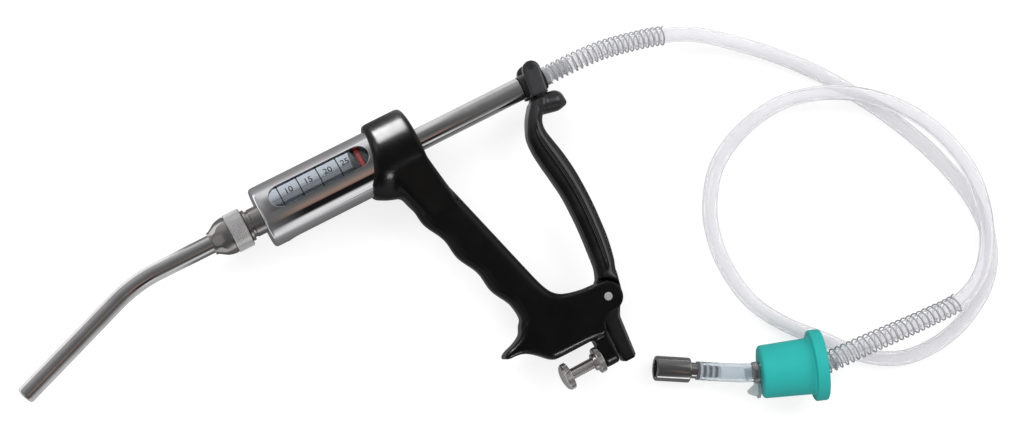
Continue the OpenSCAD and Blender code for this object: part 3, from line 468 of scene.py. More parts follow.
def pillow(points, thick, steps=6, place=GUN):
    """Slab of an outline whose edges are rounded by each point's own radius."""
    bm, rings = bmesh.new(), []
    turns = [math.pi / 2 * k / steps for k in range(steps + 1)]
    for up, t in [(-1, t) for t in reversed(turns)] + [(1, t) for t in turns]:
        ring = []
        for i, (x, y, edge) in enumerate(points):
            ahead, behind = points[(i + 1) % len(points)], points[i - 1]
            way = Vector((ahead[0] - behind[0], ahead[1] - behind[1])).normalized()
            inset = edge * (1 - math.cos(t))
            level = up * (thick / 2 - edge + edge * math.sin(t))
            ring.append(bm.verts.new(place @ Vector((x - way.y * inset, y + way.x * inset, level))))
        rings.append(ring)
    skin_rings(bm, rings, capped=True)
    return mesh_from(bm)


def taut_skin(bm):
    """The points' convex hull, without what lies inside it."""
    hull = bmesh.ops.convex_hull(bm, input=bm.verts)
    bmesh.ops.delete(bm, geom=[v for v in bm.verts if not v.link_faces], context="VERTS")
    inside = [g for g in hull["geom_interior"] if isinstance(g, bmesh.types.BMVert)]
    bmesh.ops.delete(bm, geom=[v for v in inside if v.is_valid], context="VERTS")
    return mesh_from(bm)


def hull_of(points):
    """Taut skin over points that are given for one side and mirrored to the other."""
    bm = bmesh.new()
    for side in (-1, 1):
        for x, y, z in points:
            bm.verts.new(GUN @ Vector((x, y, side * z)))
    return taut_skin(bm)


def tongue(balls, flat):
    """Taut skin over balls (point, radius), stretched to its sides."""
    bm = bmesh.new()
    for p, r in balls:
        made = bmesh.ops.create_uvsphere(bm, u_segments=32, v_segments=20, radius=1)
        for v in made["verts"]:
            v.co = GUN @ (Vector(p) + Vector((v.co.x * r, v.co.y * r, v.co.z * r * flat)))
    return taut_skin(bm)


def joined(meshes):
    bm = bmesh.new()
    for mesh in meshes:
        bm.from_mesh(mesh)
    out = bpy.data.meshes.new("joined")
    bm.to_mesh(out)
    bm.free()
    return out


def welded(mesh):
    bm = bmesh.new()
    bm.from_mesh(mesh)
    bmesh.ops.remove_doubles(bm, verts=bm.verts, dist=1e-5)
    bm.to_mesh(mesh)
    bm.free()
    return mesh


def cut_away(mesh, cutters):
    obj = loose("solid", mesh)
    tools = [loose("cutter", cutter) for cutter in cutters]
    for tool in tools:
        take = obj.modifiers.new("cut", "BOOLEAN")
        take.object, take.operation, take.solver = tool, "DIFFERENCE", "MANIFOLD"
    out = settled(obj)
    for tool in tools:
        bpy.data.objects.remove(tool)
    return out


def cast_blend(meshes, voxel, rounds):
    """One skin over several solids, with their joins drawn into fillets."""
    obj = loose("blend", joined(meshes))
    one = obj.modifiers.new("one_skin", "REMESH")
    one.mode, one.voxel_size = "VOXEL", voxel
    ease = obj.modifiers.new("fillets", "SMOOTH")
    ease.factor, ease.iterations = 0.5, rounds
    return settled(obj)


def softened(mesh, centre, reach, rounds):
    """A skin eased further round a place, less and less towards a distance from it."""
    obj = loose("softened", mesh)
    held = obj.vertex_groups.new(name="eased")
    for vertex in mesh.vertices:
        near = 1 - (vertex.co.xy - centre.xy).length / reach
        if near > 0:
            held.add([vertex.index], min(1.5 * near, 1), "REPLACE")
    ease = obj.modifiers.new("fillets", "SMOOTH")
    ease.factor, ease.iterations, ease.vertex_group = 0.5, rounds, held.name
    return settled(obj)


# Geometry Nodes trees

def growing_tree(name, inputs):
    tree = bpy.data.node_groups.new(name, "GeometryNodeTree")
    tree.interface.new_socket("Geometry", in_out="INPUT", socket_type="NodeSocketGeometry")
    take_inputs(tree, inputs)
    tree.interface.new_socket("Material", in_out="INPUT", socket_type="NodeSocketMaterial")
    tree.interface.new_socket("Geometry", in_out="OUTPUT", socket_type="NodeSocketGeometry")
    return tree, tree.nodes.new("NodeGroupInput").outputs, tree.nodes.new("NodeGroupOutput").inputs


def close_tree(tree, take, give, made):
    """Real geometry with its material, from the last node of a tree."""
    real = add(tree, "GeometryNodeRealizeInstances", [("Geometry", made.outputs[0])])
    links = [("Geometry", real.outputs[0]), ("Material", take["Material"])]
    tree.links.new(add(tree, "GeometryNodeSetMaterial", links).outputs[0], give[0])
    return tree


def drawn(tree, path, profile):
    """A closed profile drawn along a path."""
    return add(tree, "GeometryNodeCurveToMesh", [
        ("Curve", path.outputs[0]), ("Profile Curve", profile.outputs[0]), ("Fill Caps", True)])


def coil_tree():
    """Wire wound round the line that it is given, with its own radius at each end."""
    tree, take, give = growing_tree("wound_wire", {
        "Turns": 10.0, "Start Radius": 0.005, "End Radius": 0.005, "Wire Radius": 0.0005, "Points": 200})
    line = add(tree, "GeometryNodeMeshToCurve", [("Mesh", take["Geometry"])])
    fine = add(tree, "GeometryNodeResampleCurve", [("Curve", line.outputs[0]), ("Count", take["Points"])])
    share = add(tree, "GeometryNodeSplineParameter").outputs["Factor"]
    radius = ranged(tree, share, 0.0, 1.0, (take["Start Radius"], take["End Radius"]))
    angle = maths(tree, "MULTIPLY", maths(tree, "MULTIPLY", share, take["Turns"]), 2 * math.pi)
    across = add(tree, "GeometryNodeInputNormal").outputs[0]
    ahead = add(tree, "GeometryNodeInputTangent").outputs[0]
    arm = add(tree, "ShaderNodeVectorRotate", [("Vector", across), ("Axis", ahead), ("Angle", angle)],
              rotation_type="AXIS_ANGLE")
    reach = add(tree, "ShaderNodeVectorMath", [(0, arm.outputs[0]), ("Scale", radius)], operation="SCALE")
    wound = add(tree, "GeometryNodeSetPosition", [
        ("Geometry", fine.outputs[0]), ("Offset", reach.outputs[0])])
    wire = add(tree, "GeometryNodeCurvePrimitiveCircle", [
        ("Resolution", 10), ("Radius", take["Wire Radius"])])
    return close_tree(tree, take, give, drawn(tree, wound, wire))


def knurl_tree():
    """Ridges set round a rim, each a slim bar that lies along the rim's own axis."""
    tree, take, give = growing_tree("rim_ridges", {
        "Count": 60, "Rim Radius": 0.01, "Ridge Length": 0.008, "Ridge Width": 0.0006,
        "Ridge Height": 0.0006})
    rim = add(tree, "GeometryNodeMeshCircle", [("Vertices", take["Count"]), ("Radius", take["Rim Radius"])])
    bar = add(tree, "GeometryNodeMeshCylinder", [("Vertices", 4), ("Radius", 0.62), ("Depth", 1.0)])
    size = add(tree, "ShaderNodeCombineXYZ", [
        (0, take["Ridge Height"]), (1, take["Ridge Width"]), (2, take["Ridge Length"])])
    ridge = add(tree, "GeometryNodeTransform", [("Geometry", bar.outputs[0]), ("Scale", size.outputs[0])])
    where = add(tree, "GeometryNodeInputPosition").outputs[0]
    turn = add(tree, "FunctionNodeAlignRotationToVector", [("Vector", where)], axis="X", pivot_axis="Z")
    placed = add(tree, "GeometryNodeInstanceOnPoints", [
        ("Points", rim.outputs[0]), ("Instance", ridge.outputs[0]), ("Rotation", turn.outputs[0])])
    return close_tree(tree, take, give, placed)


def scale_tree():
    """Printed marks: equal arcs round a cylinder, set along its axis."""
    tree, take, give = growing_tree("dose_marks", {
        "Count": 4, "Spacing": 0.01, "Radius": 0.014, "Sweep": 0.7, "Mark Width": 0.0004})
    step = add(tree, "ShaderNodeCombineXYZ", [(2, take["Spacing"])])
    line = add(tree, "GeometryNodeMeshLine", [("Count", take["Count"]), ("Offset", step.outputs[0])],
               mode="OFFSET")
    arc = add(tree, "GeometryNodeCurveArc", [
        ("Resolution", 24), ("Radius", take["Radius"]), ("Sweep Angle", take["Sweep"])])
    pen = add(tree, "GeometryNodeCurvePrimitiveQuadrilateral", [
        ("Width", 0.06), ("Height", take["Mark Width"])])
    placed = add(tree, "GeometryNodeInstanceOnPoints", [
        ("Points", line.outputs[0]), ("Instance", drawn(tree, arc, pen).outputs[0])])
    return close_tree(tree, take, give, placed)


COIL, KNURL, MARKS = coil_tree(), knurl_tree(), scale_tree()


def grown(tree, values, line=()):
    """The mesh that a tree grows from a line; each named input is set by its identifier."""
    base = bpy.data.meshes.new("line")
    base.from_pydata([tuple(p) for p in line], [(i, i + 1) for i in range(len(line) - 1)], [])
    obj = loose("growing", base)
    grow = obj.modifiers.new("grow", "NODES")
    grow.node_group = tree
    known = {item.name: item.identifier for item in tree.interface.items_tree if item.in_out == "INPUT"}
    for label, value in values.items():
        grow[known[label]] = value
    return settled(obj)


def coil(line, turns, start, end, wire, material):
    """Wire of a radius, wound from a start radius to an end radius; sizes in metres."""
    return grown(COIL, {"Turns": float(turns), "Start Radius": start, "End Radius": end, "Wire Radius": wire,
                        "Points": int(turns * 20) + 2, "Material": material}, line)


def rim_ridges(place, x, count, radius, ridge, height, width):
    """Ridges round the x axis of a place, centred at x; sizes in millimetres."""
    mesh = grown(KNURL, {"Count": count, "Rim Radius": radius, "Ridge Length": ridge, "Ridge Width": width,
                         "Ridge Height": height, "Material": SATIN})
    mesh.transform(place @ moved(x, 0, 0) @ X_FROM_Z)
    return mesh


# Hose, guard springs, stopper and suction side

FLANGE_R, FLANGE_T, PLUG_TOP_R, PLUG_END_R, PLUG_LEN = 18.7, 6.4, 14.9, 13.9, 27
STOPPER_LEN = FLANGE_T + PLUG_LEN
STOPPER_TILT = math.radians(9)
STOPPER_CLEAR = 2.2
STOPPER_UP = STOPPER_CLEAR + FLANGE_R * math.cos(STOPPER_TILT) + FLANGE_T * math.sin(STOPPER_TILT)
STOPPER_AT = Vector((225.8, -201, STOPPER_UP))
STOPPER = FLOOR @ Matrix.Translation(STOPPER_AT) @ spun(159.5, "Z") @ Matrix.Rotation(STOPPER_TILT, 4, "Y")
HOSE_START, HOSE_R, HOSE_BORE_R = 165.5, 4.0, 2.6
HOSE_ROUTE = [
    (HOSE_START, 0, AXIS_UP), (182, 0, AXIS_UP), (198, -1, 19), (215, -4, 17), (231, -8, 15), (246, -14, 13),
    (259, -22, 10), (281, -40, 6), (302, -62, 4), (316, -82, 4), (329, -104, 4), (340, -128, 4),
    (347, -151, 4), (349.5, -168, 4), (348.5, -184, 4), (342.5, -198.5, 4), (332, -210, 4), (318, -218, 4),
    (304, -222.6, 4), (289, -224, 4), (274, -222, 4), (260.6, -215.6, 4), (248.4, -205.2, 4),
    (237.4, -192, 4), (226, -179.6, 4), (217.2, -167.2, 4), (211, -154, 4), (208.2, -138, 4),
    (208.8, -121, 4), (214.5, -102.5, 4), (228.5, -84, 4), (249, -73, 5), (273, -69, 8), (294, -73, 11),
    (312, -82, 13), (329, -96, 13), (342, -114, 13), (350, -135, 13), (352, -155, 13), (347.5, -175.5, 13),
    (338, -192.5, 14), (325, -203.2, 15), (309.5, -207.6, 16.5), (289, -206.6, 18.6), (268, -204.6, 20.6),
    (247, -202.6, 22), tuple(STOPPER_AT)]
hose_line, fine_line = ([Vector(p) for p in curve_through(HOSE_ROUTE, steps)] for steps in (6, 12))
hose_length = sum((b - a).length for a, b in zip(hose_line, hose_line[1:]))

SINKER_R, SINKER_LEN, SINKER_YAW = 6.6, 22.5, 149
SUCTION_TO = Vector((167, -174, SINKER_R))
FITTING = FLOOR @ Matrix.Translation(SUCTION_TO) @ spun(SINKER_YAW, "Z")
SUCTION_R, SUCTION_BORE_R, SUCTION_PULL, SUCTION_STEPS = 4.9, 3.45, 9, 40
BARBS, BARB_PITCH, BARB_ROOT_R, BARB_CREST_R, SINKER_BORE_R = 4, 3.2, 3.5, 3.9, 1.8


def lay_hose():
    """The hose bends between the plunger, which carries its lead, and the floor."""
    hose = piece("feed_hose", hose_mesh(fine_line, HOSE_R, HOSE_BORE_R, 48), HOSE_CLEAR, None,
                 ["hose_lead", "hose_loop"])
    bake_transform(hose)
    return hose


def part_line(first, last):
    count = int(last - first)
    return [FLOOR @ along(hose_line, first + (last - first) * k / count) for k in range(count + 1)]


def guard_springs():
    end_gap, gun_reach, stopper_reach, wire = 0.8, 68, 84, 0.0004
    far_end = hose_length - end_gap
    gun = coil(part_line(end_gap, end_gap + gun_reach), turns=22.5, start=0.0049, end=0.0049, wire=wire,
               material=WIRE)
    bung = coil(part_line(far_end - stopper_reach, far_end), turns=24.9, start=0.00475, end=0.0056, wire=wire,
                material=WIRE)
    return (piece("gun_guard_coil", gun, WIRE, "plunger", ["gun_guard_spring"]),
            piece("stopper_guard_coil", bung, WIRE, "frame", ["stopper_guard_spring"]))


def bottle_stopper():
    outline = eased([(0, 0), (0, 3.2, 0.2), (0, FLANGE_R, 1.1), (FLANGE_T, FLANGE_R, 1.0),
                     (FLANGE_T, PLUG_TOP_R, 1.6), (STOPPER_LEN, PLUG_END_R, 1.8), (STOPPER_LEN, 0)], 6)
    bung = turned(outline, STOPPER, 128)
    return piece("stopper_bung", bung, STOPPER_TEAL, "frame", ["stopper"])


def suction_tube():
    """Short tube that leaves the stopper and the sinker straight, and bends between them."""
    way = (STOPPER.to_3x3() @ Vector((1, 0, 0))).normalized()
    end_way = (FITTING.to_3x3() @ Vector((1, 0, 0))).normalized()
    start = STOPPER_AT + way * STOPPER_LEN
    a, b, c, d = start, start + way * SUCTION_PULL, SUCTION_TO - end_way * SUCTION_PULL, SUCTION_TO
    line = [a * (1 - t) ** 3 + b * 3 * t * (1 - t) ** 2 + c * 3 * t * t * (1 - t) + d * t ** 3
            for t in [k / SUCTION_STEPS for k in range(SUCTION_STEPS + 1)]]
    return piece("suction_hose", hose_mesh(line, SUCTION_R, SUCTION_BORE_R, 32), SUCTION_CLEAR, "frame",
                 ["suction_tube"])


def suction_sinker():
    """Barbed tail inside the tube, and the plated weight with its open end."""
    tail = -BARBS * BARB_PITCH
    shape = [(tail, SINKER_BORE_R), (tail, 3.0)]
    for k in range(BARBS):
        x = tail + BARB_PITCH * k
        shape += [(x + 0.2, BARB_ROOT_R), (x + 1.4, BARB_CREST_R), (x + 1.7, BARB_CREST_R),
                  (x + 1.75, BARB_ROOT_R), (x + BARB_PITCH, BARB_ROOT_R)]
    body = shape[:-1] + eased([
        (0, BARB_ROOT_R), (0, 4.2, 0.4), (3.2, 4.2, 0.3), (4, 5.2, 0.3), (4, SINKER_R, 0.9),
        (SINKER_LEN, SINKER_R, 0.9), (SINKER_LEN, 4.5, 0.5), (11.7, 4.5, 0.3), (11.7, SINKER_BORE_R)])
    sinker = piece("suction_sinker", turned(body, FITTING), SINKER_PLATE, "frame",
                   ["suction_fitting"])
    back = FITTING.inverted()

    def crest_or_root(face):
        spot = back @ face.center
        if not tail + 0.1 < spot.x < -0.1:
            return 0
        return 2 if spot.yz.length < BARB_ROOT_R + 0.02 else 1

    # the barbs' crests take a painted highlight and the roots between them a painted shade
    refinish(sinker, [BARB_PLATE_PAINTED_HIGHLIGHT, PAINTED_SHADE_STEEL], crest_or_root)
    return sinker


def ear_clip():
    """Band round the suction tube, up against the stopper, whose two ends are pinched into pointed ears."""
    place = STOPPER @ moved(STOPPER_LEN + 2.2, 0, 0) @ spun(-95, "X")
    half, inner, outer, edge, thick = 1.6, 4.95, 5.75, 0.34, 0.7
    hoop = eased([(-half, inner), (-half, outer, 0.25), (half, outer, 0.25), (half, inner)])
    band = turned(hoop, place, 64)
    kite = ((0.1, 4.6), (0.7, 11.4), (2.2, 11.8), (5.4, 10.2), (5.8, 9.2), (1.9, 6.2), (1.5, 4.6))
    leaf = ((-1.5, 4.6), (-2.0, 10.4), (-1.0, 13.7), (0.1, 13.9), (0.8, 12.6), (0.1, 9.6), (0.2, 4.6))
    ears = []
    for outline, turn, gap in ((kite, 6, 0.9), (leaf, -6, -0.9)):
        points = [(x, y, edge) for x, y in outline]
        ears.append(pillow(points, thick, 2, place @ spun(90 + turn, "X") @ moved(0, 0, gap)))
    pinch = drum(-0.9, 0.9, 0.9, place @ moved(1.2, 0, 9.4) @ spun(90, "Z"), 24)
    clip = piece("clip_band", joined([band, *ears, pinch]), CLIP_STEEL, "frame", ["hose_clip"], 50)
    back, upright = place.inverted(), place.to_3x3().normalized().inverted()

    def band_or_edge(face):
        """The band is bright, and the sheared edges of the ears carry a painted shade that makes them darker
        than their faces.
        """
        if (back @ face.center).yz.length < 6:
            return 1
        return 2 if abs((upright @ face.normal).y) < 0.9 else 0

    # the ears' edge faces take the near-black steel as a painted shade
    refinish(clip, [TURNED, PAINTED_SHADE_STEEL], band_or_edge)
    return clip


hose = lay_hose()
guards = guard_springs()
suction = suction_tube(), suction_sinker()
bottle_stopper()
ear_clip()


# Nozzle, lock ring and outlet

TUBE_START, BEND_AT, BEND, BEND_R, TIP_LEN = -19.0, -56.8, math.radians(19.6), 76, 63.5
TUBE_R, TUBE_BORE, NECK_R, NECK_FIT_R = 4.8, 3.1, 7.45, 7.56
TUBE_STRAIGHT, TUBE_ARC = TUBE_START - BEND_AT, BEND_R * BEND


def nozzle_place(reach):
    """Point and heading on the nozzle's centre, a distance forward from inside the lock ring."""
    if reach <= TUBE_STRAIGHT:
        return Vector((TUBE_START - reach, 0, 0)), Vector((-1, 0, 0))
    turn = min(reach - TUBE_STRAIGHT, TUBE_ARC) / BEND_R
    way = Vector((-math.cos(turn), -math.sin(turn), 0))
    point = Vector((BEND_AT - BEND_R * math.sin(turn), -BEND_R * (1 - math.cos(turn)), 0))
    return point + way * max(reach - TUBE_STRAIGHT - TUBE_ARC, 0), way


def nozzle_tube():
    """Bent tube with a rounded lip; its bore is open for a stretch behind the tip."""
    lip_long, lip_mid_r, lip_r, open_bore = 1.5, 3.4, 1.4, 26
    bend_end = TUBE_STRAIGHT + TUBE_ARC
    tip = bend_end + TIP_LEN
    steps = [0, 10, 25, TUBE_STRAIGHT - 2] + [TUBE_STRAIGHT + TUBE_ARC * k / 24 for k in range(25)]
    steps += [bend_end + 3, tip - 40, tip - 20, tip - 6, tip - 2.2]
    shape = [(0, 0)] + [(s, TUBE_R) for s in steps]
    for a in [math.pi / 2 * k / 8 for k in range(9)]:
        shape.append((tip - lip_long + lip_long * math.sin(a), lip_mid_r + lip_r * math.cos(a)))
    shape += [(tip - 0.1, 3.2), (tip - 0.4, TUBE_BORE), (tip - 4, TUBE_BORE), (tip - open_bore, TUBE_BORE),
              (tip - open_bore, 0)]
    stations = [(*nozzle_place(s), r) for s, r in shape]
    piece("nozzle_tube", swept(stations, GUN, 64), TUBE_CHROME, "nozzle", ["nozzle"])


def lock_ring():
    """Domed nut with a grooved step before its knurled band."""
    nose = eased([(-27.8, 5.0), (-27.8, 6.0, 0.3), (-26.6, 6.2, 0.5), (-24.9, 7.3, 1.5), (-22.6, 8.9, 2.0),
                  (-19.6, 9.7, 1.5), (-17.5, 9.85, 0.2), (-17.4, 9.5, 0.1), (-17.1, 9.5, 0.1),
                  (-17.1, 10.1, 0.25), (-8.6, 10.1, 0.3), (-8.4, 9.4, 0.2), (-8.4, NECK_FIT_R),
                  (-15, NECK_FIT_R), (-15, 5.0)], 5)
    piece("lock_ring_body", turned(nose, GUN, 128), TURNED, "lock_ring",
          ["nozzle_lock_ring"])
    ridges = rim_ridges(GUN, x=-12.9, count=110, radius=10.02, ridge=8.0, height=0.4, width=0.34)
    piece("lock_ring_knurl", ridges, SATIN, "lock_ring", sharp=20)


def outlet_neck():
    neck = eased([(-14.9, 4.0), (-14.9, NECK_R, 0.5), (-9.2, NECK_R, 0.2), (-8.3, NECK_R, 0.2),
                  (-8.2, 8.3, 0.35), (-6.6, 8.3, 0.35), (-6.5, 7.0, 0.3), (-5.2, 7.0, 0.3),
                  (-4.9, NECK_R, 0.3), (1.9, NECK_R, 0.1), (2.0, 14.3, 0.1), (5, 14.3, 0.1), (5, 2.1),
                  (-1, 2.1), (-1, 4.0)])
    piece("outlet_neck", turned(neck), TURNED, "frame", ["outlet_cap"])


nozzle_tube()
lock_ring()
outlet_neck()


# Barrel, its windows and its scale

BARREL_R, GLASS_R, BARREL_LEN, FRONT_WALL = 16.2, 14.3, 83, 2
SLEEVE_BORE_R = GLASS_R + 0.02
WINDOWS, WINDOW_W, WINDOW_FRONT, WINDOW_LEN, WINDOW_TURN = 3, 12, 7, 55, 20
BEAD_R = 0.2
MARK_FIRST, MARK_STEP, MARK_SWEEP = 13.0, 10.9, math.radians(52)
DOSES = (("10", 0.46), ("15", 0.46), ("20", 0.46), ("25", 0.34))


def window_outline(grow=0.0, steps=14):
    """Round-ended slot seen along its radius, as (x, across)."""
    r = WINDOW_W / 2 + grow
    a, b = WINDOW_FRONT + WINDOW_W / 2, WINDOW_FRONT + WINDOW_LEN - WINDOW_W / 2
    turns = [math.pi * k / steps for k in range(steps + 1)]
    rear = [(b + r * math.sin(t), -r * math.cos(t)) for t in turns]
    return rear + [(a - r * math.sin(t), r * math.cos(t)) for t in turns]


def window_cutter(spin):
    bm = bmesh.new()
    rings = [[bm.verts.new(GUN @ spin @ Vector((x, w, z))) for x, w in window_outline()] for z in (8, 24)]
    skin_rings(bm, rings, capped=True)
    return mesh_from(bm)


def window_bead(spin):
    """Rounded edge of a window, on the barrel's skin."""
    skin = BARREL_R - 0.08
    ring = [spin @ Vector((x, w, math.sqrt(skin ** 2 - w * w))) for x, w in window_outline(0.05, 20)]
    bm, rings = bmesh.new(), []
    for i, point in enumerate(ring):
        heading = (ring[(i + 1) % len(ring)] - ring[i - 1]).normalized()
        out = Vector((0, point.y, point.z)).normalized()
        rings.append(ring_across(bm, point, heading, out, BEAD_R, GUN, 8))
    skin_rings(bm, rings, closed=True)
    return mesh_from(bm)


def barrel():
    wall = eased([(0, NECK_FIT_R), (0, BARREL_R, 2.2), (64, BARREL_R), (BARREL_LEN, BARREL_R),
                  (BARREL_LEN, SLEEVE_BORE_R), (FRONT_WALL, SLEEVE_BORE_R), (FRONT_WALL, NECK_FIT_R)], 8)
    spins = [spun(-WINDOW_TURN + 360 / WINDOWS * k, "X") for k in range(WINDOWS)]
    shell = cut_away(turned(wall, GUN, 192), [window_cutter(spin) for spin in spins])
    sleeve = piece("sleeve_shell", shell, CHROME, "frame", ["barrel_sleeve"], 30)
    back = GUN.inverted()

    def inside(face):
        spot = back @ face.center
        faces_in = face.normal.yz.dot(spot.yz) < 0
        return int(spot.yz.length < GLASS_R + 0.2 and FRONT_WALL < spot.x < BARREL_LEN - 0.1 and faces_in)

    refinish(sleeve, [INNER_WALL], inside)
    piece("window_edges", joined([window_bead(spin) for spin in spins]), CHROME, "frame")


def wrap(u, v, r):
    """A point on the glass: u along the barrel, v across the first window's middle, r from the axis."""
    angle = math.radians(WINDOW_TURN) + v / r
    return GUN @ Vector((u, r * math.sin(angle), r * math.cos(angle)))


def dose_scale():
    marks = grown(MARKS, {"Count": len(DOSES), "Spacing": MARK_STEP, "Radius": GLASS_R + 0.04,
                          "Sweep": MARK_SWEEP, "Mark Width": 0.55, "Material": INK})
    # the arcs start on the tree's x axis and climb towards its y axis
    # the window's middle lies between +Z and +Y
    start = math.radians(90 - WINDOW_TURN) - MARK_SWEEP / 2
    along_barrel = Matrix(((0, 0, 1, MARK_FIRST), (1, 0, 0, 0), (0, 1, 0, 0), (0, 0, 0, 1)))
    marks.transform(GUN @ along_barrel @ Matrix.Rotation(start, 4, "Z"))
    print_parts = [marks]
    for k, (number, share) in enumerate(DOSES):
        text = bpy.data.curves.new("label", "FONT")
        text.body, text.size, text.align_x, text.align_y = number, 4.6, "CENTER", "CENTER"
        text.extrude, text.offset = 0.015, 0.05
        label = welded(settled(loose("label", text)))
        middle, raised = MARK_FIRST + MARK_STEP * (k + share), 1.2
        for vertex in label.vertices:
            x, y, z = vertex.co
            vertex.co = wrap(middle + x, y + raised, GLASS_R + 0.035 + z)
        print_parts.append(label)
    piece("dose_scale", joined(print_parts), INK, "frame", sharp=20)


barrel()
dose_scale()


# Handle casting

COLLAR_FRONT, COLLAR_REAR, COLLAR_R = 65.5, 87.8, 19.4
PIVOT = Vector((138.8, -116, 0))
PIVOT_PIN = GUN @ Matrix.Translation(PIVOT) @ Z_FROM_X
EAR_R, GRIP_T, SLOT_W = 8.2, 18.0, 9.4
FOOT_TOP, FOOT_BOTTOM = PIVOT.y + 1.27 * EAR_R, -132.6
LUG_FRONT, LUG_REAR, LUG_R = 122.6, 130.2, 5.8
DOSE_Y = -143.2
DOSE_LINE = GUN @ moved(0, DOSE_Y, 0)
GRIP_TOP_W, GRIP_LOW_W, GRIP_SLOPE = 23.6, 19.5, math.tan(math.radians(18.4))
GRIP_TALL = -FOOT_TOP - COLLAR_R
FINGERS, FINGER_PITCH, FINGER_STEPS = 3, 23, 8
SEAT_R, BUSH_SEAT_R, PIN_SEAT_R, DOSE_HOLE_R, PIN_CUT = 16.24, 8.5, 2.3, 3.1, 20


def grip_front(drop):
    return COLLAR_FRONT + 0.6 + GRIP_SLOPE * (drop - COLLAR_R)


def grip_rear(drop):
    return grip_front(drop) + GRIP_TOP_W + (GRIP_LOW_W - GRIP_TOP_W) * (drop - COLLAR_R) / GRIP_TALL


def handle_outline():
    """Grip, hook, foot and ear as one outline; each point carries the radius of its edge."""
    hook, tall, inset = grip_front(-FOOT_TOP), FOOT_TOP - FOOT_BOTTOM, 2.4
    points = [(COLLAR_FRONT + inset, -7, 1.5), (COLLAR_FRONT + inset, -16.3, 3)]
    for i in range(FINGERS * FINGER_STEPS + 1):
        drop = COLLAR_R + 0.4 * FINGER_PITCH + FINGER_PITCH * i / FINGER_STEPS
        points.append((grip_front(drop) + math.cos(2 * math.pi * i / FINGER_STEPS), -drop, 6.6))
    # hook and foot, in shares of the grip's width and of the foot's height
    for u, v, edge in ((-0.02, 0.02, 5), (-0.15, 0.1, 4), (-0.2, 0.2, 3.4), (-0.27, 0.28, 3),
                       (-0.53, 0.375, 2.4), (-0.82, 0.43, 1.8), (-0.96, 0.52, 1.4), (-0.84, 0.57, 1.6),
                       (-0.6, 0.57, 2.2), (-0.36, 0.62, 2.6), (-0.1, 0.75, 3.2), (0.17, 0.96, 4.2),
                       (0.3, 1, 5)):
        points.append((hook + GRIP_LOW_W * u, FOOT_TOP - tall * v, edge))
    points += [(LUG_FRONT, FOOT_BOTTOM, 4.4), (LUG_REAR, FOOT_BOTTOM, 1.2),
               (LUG_REAR + 0.8, PIVOT.y - 1.35 * EAR_R, 0.8), (LUG_REAR + 4.1, PIVOT.y - 1.06 * EAR_R, 0.8)]
    for a in [math.radians(-85 + 18 * k) for k in range(11)]:
        points.append((PIVOT.x + EAR_R * math.cos(a), PIVOT.y + EAR_R * math.sin(a), 0.8))
    points += [(PIVOT.x - EAR_R, PIVOT.y + 1.06 * EAR_R, 1.2), (hook + 1.45 * GRIP_LOW_W, FOOT_TOP, 2.4),
               (hook + 1.09 * GRIP_LOW_W, FOOT_TOP + 0.13 * GRIP_LOW_W, 4)]
    for share in (0.9, 0.7, 0.5, 0.3, 0.1):
        drop = COLLAR_R + GRIP_TALL * share
        points.append((grip_rear(drop), -drop, 5.5))
    return points + [(COLLAR_REAR, -16.3, 3), (COLLAR_REAR - inset, -7, 1.5)]


def corner_cut(points):
    out = []
    for a, b in zip(points, points[1:] + points[:1]):
        for share in (0.75, 0.25):
            out.append(tuple(share * p + (1 - share) * q for p, q in zip(a, b)))
    return out


def handle_solids():
    """The casting's plain forms, which are blended into one skin."""
    grip = pillow(corner_cut(corner_cut(handle_outline())), GRIP_T)
    collar = turned(eased([(COLLAR_FRONT, 0), (COLLAR_FRONT, COLLAR_R, 2.8), (COLLAR_REAR, COLLAR_R, 2.8),
                           (COLLAR_REAR, 0)], 8), GUN, 128)
    lug = turned(eased([(LUG_FRONT, 0), (LUG_FRONT, LUG_R, 0.8), (LUG_REAR, LUG_R, 0.4), (LUG_REAR, 0)]),
                 DOSE_LINE, 48)
    web = box_mesh((LUG_FRONT, DOSE_Y, -LUG_R), (LUG_REAR, FOOT_BOTTOM + 4, LUG_R))
    throat_front, throat_rear = COLLAR_FRONT + 1.2, COLLAR_REAR - 0.5
    throat = turned(eased([(throat_front, 0), (throat_front, 9.4, 3), (throat_rear, 10.4, 3),
                           (throat_rear, 0)]), GUN @ moved(0, -12.5, 0), 64)
    shoulder = hull_of((
        (COLLAR_FRONT + 2, -2, 19), (COLLAR_REAR - 2, -2, 19), (COLLAR_FRONT + 1.4, -9, 16.4),
        (COLLAR_REAR - 1.4, -9, 16.4), (COLLAR_FRONT + 1, -14.5, 12.4), (COLLAR_REAR - 1, -14.5, 12.4),
        (grip_front(30) + 3, -30, 8.8), (grip_rear(30) - 3, -30, 8.8), (grip_front(30) + 0.6, -30, 6.4),
        (grip_rear(30) - 0.6, -30, 6.4), (grip_front(40) + 4, -40, 8.6), (grip_rear(40) - 4, -40, 8.6)))
    lean = turned(eased([(0, 0), (0, 19.2, 2.6), (8, 19.2, 2.6), (8, 0)], 6),
                  GUN @ moved(62.4, 0, 0) @ spun(-12, "Z"), 128)
    chin = hull_of((
        (64.5, 6, 17.8), (62.4, -2.8, 18.2), (60.6, -7.5, 17), (56.4, -12.6, 12.8), (55.4, -16, 8),
        (56.2, -17.8, 3), (61.6, -20.6, 5), (66.5, -22.2, 7), (75, -23, 8.5), (75, 0, 19), (75, -12, 15),
        (66, -17, 11.5)))
    return [grip, collar, lug, web, throat, shoulder, lean, chin]


